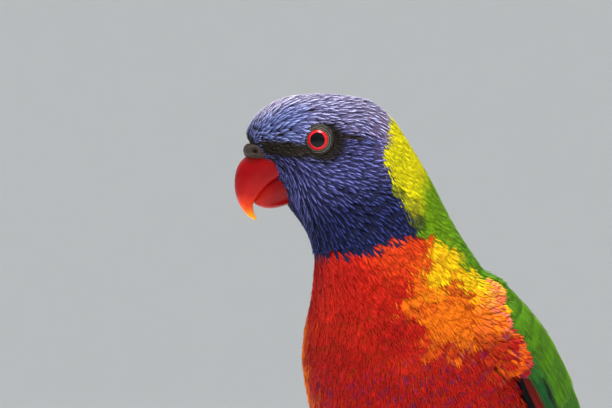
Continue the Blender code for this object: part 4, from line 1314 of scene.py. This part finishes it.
rides = over_wing * np.where(ahead_of_wing, 1.0, 1 - ease(at, 14.0, 15.8))
scapular = rides * ~ahead_of_wing * wing_near * ease(at, 11.5, 13.0)
length = length * (1 + 0.35 * scapular)
toward = np.where(ahead_of_wing, 0.6, -0.4 - 0.25 * scapular)
toward = np.where(on_right, -1.0, 1.0) * toward * rides * wing_near
turn = (draw[2] - 0.5) * 0.24 + toward
colour = markings_and_painted_light(at + length * 0.06, angle, (draw[3] - 0.5) * 0.16)[0]
lobe = over_wing * wing_near * (around > np.interp(at, *GREEN_EDGE) - 2.0) * (at > 11.6)
colour = blend(colour, BREAST_PINK, lobe * (at < 12.9) * ease(draw[7], 0.3, 0.9))
colour = blend(colour, BREAST_ORANGE, 0.6 * lobe * (at > 12.9) * ease(draw[7], 0.35, 0.7))
bright = (0.88 + 0.24 * draw[4])[:, None]
golden = ease(at, 9.5, 11.0) * (around > 62) * (1 - ease(at, 15.2, 16.2))
rise = coat_depth(at) * (0.62 + 0.3 * draw[6]) * (1 - 0.45 * rides * ~ahead_of_wing * wing_near)
rise = rise + 0.2 * over_wing * wing_near * ahead_of_wing
rise = rise - 0.35 * (1 - ease(at - np.interp(around, *HOOD_EDGE), -0.7, 0.1))


def body_height(share, t, wide):
    return -0.35 + (rise + 0.35) * share**0.8 + 0.14 * (1 - t * t) * wide - 0.1


def draped(rides):
    """A surface to lay feathers on that follows the cloth over the wings' edges for those that ride it."""
    return lambda a, b, height: body_place(a, b, height + rides * on_net(drape, a, b))


body_barb = plumage("body_feather", 22.0, 0.3, 0.6, 0.10, 0.12)
points = lay((at, angle), length, width, turn, *BODY_VANE, net_step, draped(rides), body_height)
# Each feather darkens towards its root: painted shade under the feathers that overlap it.
colours = each_point(*BODY_VANE, lambda share, t, wide: (
    blend(colour * bright, BREAST_ORANGE, golden * 0.4 * (1 - ease(np.float64(share), 0.3, 0.75)))
    * (0.75 + 0.2 * share)
))
cells = unwrapped(at, angle)
REGIONS = (
    ("neck", "neck_feathers", lambda at, around: at < 11.0),
    ("breast", "body_feathers", lambda at, around: (at >= 11.0) & (at < 13.7) & (around >= 90.0)),
    ("belly", "body_feathers", lambda at, around: (at >= 13.7) & (around >= 90.0)),
    ("back", "body_feathers", lambda at, around: (at >= 11.0) & (around < 90.0)),
)
for name, slot, region in REGIONS:
    part = region(at, around)
    piece = feather_mesh(
        name + "_feathers", points[part], colours[part], BODY_VANE, cells[part],
        (length[part], width[part]), body_barb,
    )
    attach(piece, "root")
LOCKS = 11
stems = (np.arange(LOCKS) + 0.5) / LOCKS * 2 - 1
(lock_at, lock_angle, lock_length, lock_turn), owner = fringe(
    (at, angle), length, width, turn, stems, 0.36, net_step
)
draw = chance.random((4, len(lock_at)))
lock_width = (0.78 - 0.3 * collar[owner]) * (0.8 + 0.4 * draw[0])
lock_rise = rise[owner] + 0.12 + 0.2 * draw[1]


def lock_height(share, t, wide):
    return 0.1 + (lock_rise - 0.1) * share**0.75 + 0.08 * (1 - t * t) * wide


points = lay(
    (lock_at, lock_angle), lock_length, lock_width, lock_turn, *BARB_VANE, net_step, draped(rides[owner]),
    lock_height,
)
# Thin violet edges run up the breast towards the wings in long arcs.
tip_at, tip_around = lock_at + 0.09 * lock_length, side_angle(lock_angle)
waver = np.array([noise.noise(Vector(p) * 45) for p in points[:, -1, 1]])
phase = ((tip_at - 0.022 * tip_around) / 0.46 + 0.55 * waver) % 1.0
violet = (1 - ease(np.abs(phase - 0.5), 0.07, 0.15)) * ease(tip_around, 56.0, 62.0)
violet = violet * ease(tip_at, 12.4, 14.0) * (1 - ease(tip_at, 15.4, 15.9)) * ease(draw[3], 0.1, 0.5)
shade = colour[owner] * bright[owner] * (0.9 + 0.26 * draw[2])[:, None]


def lock_colour(share, t, wide):
    base = blend(shade, BREAST_ORANGE, golden[owner] * 0.3 * (1 - ease(np.float64(share), 0.2, 0.7)))
    base = blend(base, EDGE_VIOLET, 0.75 * violet * ease(np.float64(share), 0.5, 0.9))
    # Darker towards the root and along the sides: painted shade.
    return base * (0.8 + 0.2 * share) * (1.0 if t == 0 else 0.9)


colours = each_point(*BARB_VANE, lock_colour)
cells = unwrapped(lock_at, lock_angle)
for name, slot, region in REGIONS:
    part = region(at, around)[owner]
    piece = feather_mesh(
        name + "_barbs", points[part], colours[part], BARB_VANE, cells[part],
        (lock_length[part], lock_width[part]), body_barb,
    )
    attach(piece, "root")


# Feathers of the thighs.
# Short soft feathers, green with yellowish tips, point down the leg and end at the bare shank.

THIGH_UNIT = 8.4


def thigh_step(at, angle, forward, sideways, turn):
    c, s = np.cos(turn), np.sin(turn)
    radius = smooth_rows(THIGH_LINE, np.clip(at, 0.0, 4.0))[..., 3]
    return at + (forward * c - sideways * s) / THIGH_UNIT, angle + (forward * s + sideways * c) / radius


for name, side in (("left", 1), ("right", -1)):
    count = 800
    at = np.sort(chance.uniform(-0.75, 3.85, count))
    angle = chance.uniform(0, 2 * math.pi, count)
    draw = chance.random((4, count))
    length = (7.0 - 3.9 * ease(at, 1.0, 3.6)) * (0.85 + 0.3 * draw[0])
    width = (3.3 - 1.6 * ease(at, 1.5, 3.6)) * (0.85 + 0.3 * draw[1])
    turn = (draw[2] - 0.5) * 0.3
    rise = (1.3 - 0.5 * ease(at, 2.5, 3.8)) * (0.7 + 0.4 * draw[3])
    yellow = np.clip(0.35 + 0.9 * (chance.random(count) - 0.5) + 0.3 * ease(at, 1.0, 3.0), 0, 1)
    colour = blend(RUMP_GREEN, VENT_YELLOW, yellow)

    def thigh_surface(at, angle, height):
        low = np.clip(at, 0.0, 4.0)
        middle, radial, onward = thigh_place(side, low, angle, 1.2)
        return middle + (radial * height[:, None] + onward * ((at - low) * THIGH_UNIT)[:, None]) * MM

    (barb_at, barb_angle, barb_length, barb_turn), owner = fringe(
        (at, angle), length, width, turn, np.linspace(-0.9, 0.9, 7), 0.3, thigh_step
    )
    barb_draw = chance.random((2, len(barb_at)))
    for label, whose, start, long, wide_mm, lean, vane, high, sheen, shade_under_barbs in (
        ("feathers", np.arange(count), (at, angle), length, width, turn, BODY_VANE, -0.05, draw[2], 0.75),
        ("barbs", owner, (barb_at, barb_angle), barb_length, 0.6 + 0.2 * barb_draw[0], barb_turn, BARB_VANE,
         0.15, barb_draw[1], 1.0),
    ):
        def thigh_height(share, t, wide):
            return -0.3 + (rise[whose] + 0.3 + high) * share**0.8 + 0.08 * (1 - t * t) * wide

        def thigh_colour(share, t, wide):
            # Darker towards the root, and the feathers under the barbs darker still: painted shade.
            return colour[whose] * (0.9 + 0.2 * sheen)[:, None] * ((0.72 + 0.33 * share) * shade_under_barbs)

        points = lay(start, long, wide_mm, lean, *vane, thigh_step, thigh_surface, thigh_height)
        down = 0.83 + 0.09 * (side < 0) + np.clip(start[0], 0, 4) / 4.0 * 0.07
        cells = np.stack([down, (start[1] / (2 * math.pi)) % 1.0], axis=1)
        piece = feather_mesh(
            f"thigh_{label}_{name}", points, each_point(*vane, thigh_colour), vane, cells, (long, wide_mm),
            body_barb, mirrored=side < 0,
        )
        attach(piece, "root")


# Bill and cere.
# Two hollow horn shells. The hooked upper one closes over the scoop of the lower one, both polished
# red, paling through orange to a yellow tip. A saddle of bare skin with two nostrils caps the root.

UPPER_BILL = (
    (-26.5, -2.0, -18.5, -8.0, 6.2, 1.0, -0.08),
    (-31.8, -3.3, -22.0, -9.8, 6.3, 1.0, -0.10),
    (-34.6, -4.9, -24.6, -11.1, 6.0, 1.0, -0.12),
    (-36.7, -7.4, -27.2, -12.8, 5.6, 1.0, -0.15),
    (-37.7, -11.0, -29.3, -14.8, 4.9, 1.0, -0.18),
    (-37.6, -15.2, -31.2, -17.0, 3.8, 1.0, -0.15),
    (-36.5, -18.6, -32.3, -18.7, 2.7, 1.0, -0.10),
    (-34.9, -21.2, -32.3, -20.5, 1.7, 1.0, 0.0),
    (-33.3, -22.7, -31.8, -22.0, 1.0, 1.0, 0.0),
    (-31.6, -23.6, -31.2, -23.2, 0.35, 1.0, 0.0),
)
LOWER_BILL = (
    (-17.6, -9.0, -18.0, -17.6, 4.9, 1.0, 0.15),
    (-21.8, -9.2, -21.8, -19.0, 5.3, 1.0, 0.15),
    (-25.3, -10.0, -25.2, -20.0, 5.1, 1.0, 0.15),
    (-28.2, -11.8, -28.0, -20.2, 4.4, 1.0, 0.15),
    (-30.4, -14.2, -30.2, -19.7, 3.4, 1.0, 0.10),
    (-31.9, -16.6, -31.8, -18.8, 2.0, 1.0, 0.0),
)


def colour_run(shader, share, *stops):
    """Colours the shader by a share from 0 to 1, through stops of a place and a colour."""
    ramp = grow(shader, "ValToRGB", {"Fac": share})
    elements = ramp.node.color_ramp.elements
    for n, (place, colour) in enumerate(stops):
        element = elements[n] if n < 2 else elements.new(place)
        element.position = place
        element.color = (*colour, 1)
    wire(shader, {"Base Color": ramp})


def horn(name, lowest, highest, towards, *stops):
    """Polished horn whose colour runs along a direction, between two distances along it in metres."""
    made, shader = finish(name, (0.5, 0.02, 0.02), 0.3, 0.13)
    wire(shader, {
        "Coat Weight": 0.06, "Coat Roughness": 0.2,
        "Subsurface Weight": 0.03, "Subsurface Radius": (0.003, 0.0008, 0.0004),
    })
    where = grow(shader, "TexCoord", {}, "Object")
    run = grow(shader, "VectorMath", {0: where, 1: towards}, "Value", operation="DOT_PRODUCT")
    cloud = texture(shader, "Noise", {"Scale": 260.0, "Detail": 4.0})
    level = sums(shader, "MULTIPLY_ADD", cloud, 0.004, run)
    level = grow(shader, "MapRange", {"Value": level, "From Min": lowest, "From Max": highest})
    colour_run(shader, level, *stops)
    relief(shader, texture(shader, "Noise", {"Scale": 900.0}), 0.12, 0.0002)
    return made


HEAD_BACK = Vector((-math.sin(HEAD_TURN), math.cos(HEAD_TURN), 0.0))
upper_horn = horn(
    "upper_horn", (EYE_HEIGHT - 23.5) * MM, (EYE_HEIGHT - 3.0) * MM, (0, 0, 1),
    (0.0, tone(255, 196, 10)), (0.19, tone(252, 134, 0)), (0.31, tone(220, 50, 2)), (0.46, tone(172, 6, 4)),
    (0.75, tone(140, 0, 6)), (1.0, tone(152, 4, 6)),
)
lower_horn = horn(
    "lower_horn", -0.0665, -0.052, HEAD_BACK,
    (0.0, tone(206, 66, 2)), (0.2, tone(168, 18, 4)), (0.5, tone(134, 2, 4)), (1.0, tone(104, 0, 4)),
)


def bill_shell(name, rows, steps, horn, *rounding):
    shape = bmesh.new()
    angles = np.linspace(0, 2 * math.pi, 64, endpoint=False)
    places = np.linspace(0, len(rows) - 1, steps)
    ringed(shape, [section_points(rows, np.full(64, at), angles, *rounding) for at in places])
    return keep(name, shape, horn)


upper = bill_shell("bill_upper_horn", UPPER_BILL, 44, upper_horn, ROUNDNESS, 4.5)
lower = bill_shell("bill_lower_horn", LOWER_BILL, 28, lower_horn, 3.0, ROUNDNESS)
for piece, node in ((upper, "bill_upper"), (lower, "bill_lower")):
    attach(piece, "root")
    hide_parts(node)

CERE_CENTRE = (-29.6, -3.6)
CERE_RADII = (6.5, 5.5, 2.75)
CERE_TILT = math.radians(9)
NOSTRIL = (-32.4, -3.2)
shape = bmesh.new()
bmesh.ops.create_uvsphere(shape, u_segments=96, v_segments=60, radius=1.0)
for v in shape.verts:
    v.co = Vector([math.copysign(abs(k) ** 0.78, k) for k in v.co])
lean = Matrix.Rotation(HEAD_TURN, 4, "Z") @ Matrix.Rotation(-CERE_TILT, 4, "X")
middle = Vector(turned(CERE_CENTRE[0], 0.0, CERE_CENTRE[1]) / MM)
shape.transform(Matrix.Translation(middle) @ lean @ Matrix.Diagonal((*CERE_RADII, 1.0)))
shape.normal_update()
moves = []
for v in shape.verts:
    back, side, height = head_frame(np.array(v.co) * MM)
    off = math.hypot(back - NOSTRIL[0], height - NOSTRIL[1])
    pit = 0.0
    if abs(side) > 2.0:
        pit = -1.7 * math.exp(-((off / 0.72) ** 4)) + 0.4 * math.exp(-(((off - 1.35) / 0.6) ** 2))
    fold = 0.07 * math.sin(back * 3.4 + 1.3 * math.sin(height * 2.0))
    moves.append(v.normal * (pit + fold + 0.12 * noise.noise(v.co * 0.9)))
for v, move in zip(shape.verts, moves):
    v.co += move
shape.transform(Matrix.Scale(MM, 4))
cere_skin, shader = finish("bare_skin", (0.1, 0.08, 0.07), 0.6, 0.25)
cloud = texture(shader, "Noise", {"Scale": 1400.0, "Detail": 5.0})
colour_run(shader, cloud, (0.32, tone(38, 30, 26)), (0.68, tone(64, 50, 42)))
relief(shader, cloud, 0.25, 0.0002)
piece = keep("cere_saddle", shape, cere_skin)
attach(piece, "root")
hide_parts("cere")


# Eyes and lids.
# A glass ball with a black pupil in a red iris, set in a ring of bare wrinkled skin that closes on it.

EYE_RADIUS = 4.3
EYE_SIDE = 9.9
EYE_FORWARD_TURN = math.radians(12)
pupil = finish("pupil", (0.003, 0.003, 0.004), 0.12, 0.16)[0]
iris, shader = finish("red_iris", (0.6, 0.01, 0.01), 0.14, 0.2)
cloud = texture(shader, "Noise", {"Scale": 2400.0})
colour_run(shader, cloud, (0.3, tone(176, 8, 22)), (0.7, tone(236, 40, 50)))
lid_skin, shader = finish("lid_skin", (0.08, 0.075, 0.06), 0.6, 0.25)
cloud = texture(shader, "Noise", {"Scale": 2600.0, "Detail": 3.0})
dyed(shader, "stain", speckle(shader, cloud, 0.45, 1.5))
relief(shader, cloud, 0.3, 0.0001)
LID_PALE, LID_GREY, LID_DARK = tone(116, 112, 98), tone(62, 57, 48), tone(27, 24, 21)
# The lid's folds, from its edge outwards: radius, height over the eye's middle, and colour. The colour
# is pale on the folds' crests and dark in their grooves: painted light and shade on the bare skin.
LID_FOLDS = (
    (2.9, 2.5, LID_DARK), (3.02, 3.1, LID_DARK), (3.1, 3.22, LID_DARK), (3.22, 3.27, LID_PALE),
    (3.34, 3.2, LID_GREY), (3.46, 3.06, LID_DARK), (3.6, 3.08, LID_DARK), (3.76, 3.18, LID_PALE),
    (3.9, 3.06, LID_GREY), (4.02, 2.98, LID_DARK), (4.16, 3.06, LID_DARK), (4.28, 3.04, LID_GREY),
    (4.4, 2.9, LID_DARK), (4.56, 2.82, LID_DARK), (4.7, 2.66, LID_DARK), (4.9, 2.2, LID_DARK),
    (5.0, 1.5, LID_DARK), (4.8, 0.8, LID_DARK), (3.2, 1.0, LID_DARK), (2.9, 2.5, LID_DARK),
)


for name, side in (("left", 1), ("right", -1)):
    middle = Vector(turned(-EYE_AHEAD, side * EYE_SIDE, 0.0) / MM)
    aim = Matrix.Rotation(HEAD_TURN - side * EYE_FORWARD_TURN, 3, "Z") @ Vector((side, 0, 0))
    facing = aim.to_track_quat("Z", "Y").to_matrix().to_4x4()
    seat = Matrix.Scale(MM, 4) @ Matrix.Translation(middle) @ facing
    polar = [0.0, 8, 16, 24, 30.8, 33.4, 38, 43, 48, 56, 68, 82, 98, 116, 134, 152, 168, 180]
    profile = [(EYE_RADIUS * math.sin(a), EYE_RADIUS * math.cos(a)) for a in map(math.radians, polar)]
    shape = spun(profile, 64)
    for face in shape.faces:
        reach = math.hypot(*face.calc_center_median().xy)
        front = face.calc_center_median().z > 0
        face.material_index = 1 if front and 2.2 < reach < 3.2 else 0
    shape.transform(seat)
    ball = keep("eyeball_" + name, shape, pupil, iris)
    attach(ball, "root")
    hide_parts("eye_" + name)
    shape = spun([fold[:2] for fold in LID_FOLDS], 128)
    shape.normal_update()
    stain = shape.verts.layers.float_color.new("stain")
    radii, heights = [np.array([fold[n] for fold in LID_FOLDS[:-1]]) for n in (0, 1)]
    moves = []
    for v in shape.verts:
        reach = math.hypot(v.co.x, v.co.y)
        near = int(np.argmin((radii - reach) ** 2 + (heights - v.co.z) ** 2))
        # Each point takes its nearest fold's colour, so the painted light and shade follow the crests and
        # grooves.
        v[stain] = (*LID_FOLDS[near][2], 1.0)
        wave = noise.noise(v.co * 1.1 + Vector((9, 0, 0)))
        sway = ease(np.float64(reach), 3.2, 4.2)
        moves.append(Vector((v.co.x, v.co.y, 0)) * (0.035 * wave * sway) + v.normal * (0.05 * wave * sway))
    for v, move in zip(shape.verts, moves):
        v.co += move
    shape.transform(seat)
    lid = keep("lid_" + name, shape, lid_skin)
    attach(lid, "root")


# Feet and claws.
# Two toes forward and two back grip the branch. Grey scaled skin covers them, with broad plates along
# the top of each toe, and each ends in a dark curved claw.

PERCH_RADIUS = 8.0
PERCH_BACK = 18.0
PERCH_HEIGHT = -141.0
PERCH_Y, PERCH_Z = PERCH_BACK + NECK_AXIS_Y, PERCH_HEIGHT + EYE_HEIGHT
FOOT_APART = 13.5
TARSUS_LINE = ((13.8, 23.6, -119.0, 2.4), (13.6, 22.0, -126.5, 2.4), (13.5, 19.5, -130.0, 2.8))
TOES = (("inner_front", -4.2, -1, 98.0), ("outer_front", 4.2, -1, 108.0),
        ("inner_back", -3.6, 1, 74.0), ("outer_back", 3.6, 1, 92.0))
foot_skin, shader = finish("scaled_skin", (0.1, 0.1, 0.1), 0.55, 0.4)
scales = texture(shader, "Voronoi", {"Scale": 1300.0})
colour_run(shader, scales, (0.0, tone(128, 128, 130)), (0.75, tone(62, 60, 62)))
relief(shader, scales, 0.6, 0.0003, invert=True)
claw_horn, shader = finish("dark_horn", (0.03, 0.028, 0.03), 0.3, 0.5)
cloud = texture(shader, "Noise", {"Scale": 700.0})
colour_run(shader, cloud, (0.0, tone(24, 22, 24)), (1.0, tone(78, 72, 70)))


def on_perch(side, across, front, turn, radius):
    """A place round the branch: turn is in degrees from its top, and front is -1 towards the breast."""
    angle = math.radians(turn)
    y = PERCH_Y + front * radius * math.sin(angle)
    return Vector((side * across, y, PERCH_Z + radius * math.cos(angle)))


def bar(shape, points, radii, sides):
    """A round bar through points, with a radius at each."""
    rings = []
    for k, point in enumerate(points):
        onward = (points[min(k + 1, len(points) - 1)] - points[max(k - 1, 0)]).normalized()
        side = onward.cross(Vector((1, 0.03, 0.02))).normalized()
        up = side.cross(onward)
        rings.append([
            (point + (side * math.cos(a) + up * math.sin(a)) * radii[k]) * MM
            for a in (2 * math.pi * j / sides for j in range(sides))
        ])
    ringed(shape, rings)


for name, side in (("left", 1), ("right", -1)):
    shape = bmesh.new()
    rows = smooth_rows(TARSUS_LINE, np.linspace(0, 2, 18))
    points = [Vector((side * r[0], r[1] + NECK_AXIS_Y, r[2] + EYE_HEIGHT)) for r in rows]
    bar(shape, points, [r[3] * (1 + 0.05 * math.cos(k * 2.1)) for k, r in enumerate(rows)], 20)
    claws = bmesh.new()
    for toe, apart, front, reach in TOES:
        points, radii = [], []
        for k in range(43):
            share = k / 42
            across = FOOT_APART + apart * (0.35 + 0.65 * min(1.0, share * 2.0))
            swell = 1.0 + 0.08 * math.cos(share * 3 * 2 * math.pi)
            plate = 1.0 + 0.055 * ((share * 14) % 1.0 - 0.5)
            flesh = 2.1 * (1.08 - 0.34 * share) * swell
            turn = -8 + (reach + 8) * share
            points.append(on_perch(side, across, front, turn, PERCH_RADIUS + 0.1 + flesh))
            radii.append(flesh * plate * math.sin(math.pi * min(0.5, 0.15 + (1 - share) * 4)) ** 0.5)
        bar(shape, points, radii, 16)
        points, radii = [], []
        for k in range(16):
            share = k / 15
            thick = 1.35 * (1 - share) ** 0.8 + 0.12
            turn = reach - 3.0 + 41.0 * share
            lift = 1.0 * math.sin(math.pi * min(share + 0.1, 1.0))
            radius = PERCH_RADIUS + 0.3 + thick + lift
            points.append(on_perch(side, FOOT_APART + apart, front, turn, radius))
            radii.append(thick)
        bar(claws, points, radii, 14)
    foot = keep("foot_skin_" + name, shape, foot_skin)
    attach(foot, "root")
    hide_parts("foot_" + name)
    nails = keep("claws_" + name, claws, claw_horn)
    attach(nails, "root")
    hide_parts(*[f"claw_{name}_{toe[0]}" for toe in TOES])


# Branch.
# A cut length of branch with rough bark, knobbly towards its ends, and two sawn faces with rings.

PERCH_LENGTH = 104.0
bark, shader = finish("bark", (0.2, 0.14, 0.1), 0.85, 0.25)
ridges = texture(
    shader, "Noise", {"Scale": 420.0, "Detail": 8.0, "Roughness": 0.65}, place={"Scale": (0.22, 1.0, 1.0)}
)
colour_run(shader, ridges, (0.3, tone(58, 44, 34)), (0.5, tone(112, 92, 74)), (0.72, tone(158, 140, 120)))
relief(shader, ridges, 0.8, 0.001)
sawn, shader = finish("sawn_end", (0.5, 0.36, 0.2), 0.7, 0.3)
pith = (0.0, -PERCH_Y * MM, -PERCH_Z * MM)
rings = texture(
    shader, "Wave", {"Scale": 190.0, "Distortion": 1.2, "Detail": 3.0}, "Fac",
    {"Location": pith, "Scale": (0.0, 1.0, 1.0)}, wave_type="RINGS", rings_direction="X",
)
colour_run(shader, rings, (0.0, tone(170, 128, 82)), (1.0, tone(214, 180, 132)))


def perch_radius(along, angle):
    rough = min(max((abs(along) - 24.0) / 10.0, 0.0), 1.0)
    radius = PERCH_RADIUS + rough * (
        0.55 * math.sin(3 * angle + along * 0.09) + 0.5 * math.sin(along * 0.35 + 2 * angle) - 0.1
    )
    spot = Vector((along * 0.10, 2.1 * math.cos(angle), 2.1 * math.sin(angle)))
    fine = Vector((along * 0.22, 5.0 * math.cos(angle), 5.0 * math.sin(angle)))
    return radius + (0.12 + 0.3 * rough) * noise.noise(spot) + 0.14 * noise.noise(fine)


shape = bmesh.new()
rings = []
for k in range(131):
    along = -PERCH_LENGTH / 2 + PERCH_LENGTH * k / 130
    inset = 0.5 if k in (0, 130) else 0.0
    rings.append([
        Vector((
            along,
            PERCH_Y + (perch_radius(along, a) - inset) * math.cos(a),
            PERCH_Z + (perch_radius(along, a) - inset) * math.sin(a),
        )) * MM
        for a in (2 * math.pi * j / 96 for j in range(96))
    ])
ringed(shape, rings)
for face in shape.faces:
    face.material_index = 1 if len(face.verts) > 4 else 0
    face.smooth = True
branch = keep("branch", shape, bark, sawn)
branch.data.set_sharp_from_angle(angle=math.radians(50))
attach(branch, "root")
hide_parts("perch")


# Display stand.
# An oiled board with rounded corners and two satin metal rods, each sunk into the board with a collar.

BASE_WIDTH, BASE_LENGTH, BASE_THICKNESS, BASE_CORNER = 112.0, 158.0, 10.0, 20.0
oak, shader = finish("oiled_board", (0.3, 0.17, 0.09), 0.42, 0.4)
grain = texture(
    shader, "Noise", {"Scale": 210.0, "Detail": 7.0, "Distortion": 0.6}, place={"Scale": (1.0, 0.09, 1.0)}
)
colour_run(shader, grain, (0.34, tone(92, 58, 32)), (0.66, tone(158, 112, 70)))
relief(shader, grain, 0.2, 0.0004)
shape = bmesh.new()
bmesh.ops.create_cube(shape, size=1.0)
shape.transform(Matrix.Diagonal((BASE_WIDTH, BASE_LENGTH, BASE_THICKNESS, 1)))
shape.transform(Matrix.Translation((0, 0, BASE_THICKNESS / 2)))
for offset, segments, chosen in (
    (BASE_CORNER, 16, lambda one, other: abs(one.z - other.z) > 1),
    (2.0, 5, lambda one, other: min(one.z, other.z) > BASE_THICKNESS - 0.01),
    (0.5, 2, lambda one, other: max(one.z, other.z) < 0.01),
):
    edges = [e for e in shape.edges if chosen(*(v.co for v in e.verts))]
    bmesh.ops.bevel(
        shape, geom=edges, offset=offset, segments=segments, profile=0.5, affect="EDGES", material=-1
    )
shape.transform(Matrix.Scale(MM, 4))
board = keep("board", shape, oak)
board.data.set_sharp_from_angle(angle=math.radians(40))
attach(board, "root")
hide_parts("stand_base")

rod_metal, shader = finish("satin_rod", (0.34, 0.25, 0.12), 0.36, 0.5)
shader.inputs["Metallic"].default_value = 1.0
brush = texture(shader, "Noise", {"Scale": 1500.0}, place={"Scale": (1.0, 1.0, 0.04)})
colour_run(shader, brush, (0.0, (0.30, 0.21, 0.09)), (1.0, (0.38, 0.28, 0.14)))
for name, side in (("left", 1), ("right", -1)):
    foot, head = BASE_THICKNESS - 4.0, PERCH_Z - PERCH_RADIUS + 4.0
    shape = spun([(0.0, foot), (2.6, foot), (2.6, 10.0), (4.4, 10.0), (4.4, 11.4), (4.0, 12.0), (2.6, 12.2),
                  (2.6, 60.0), (2.6, head), (0.0, head)], 48)
    shape.transform(Matrix.Translation((side * 37.0, PERCH_Y, 0)))
    shape.transform(Matrix.Scale(MM, 4))
    rod = keep("rod_" + name, shape, rod_metal)
    rod.data.set_sharp_from_angle(angle=math.radians(35))
    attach(rod, "root")
    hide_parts("stand_rod_" + name)

bpy.context.view_layer.update()
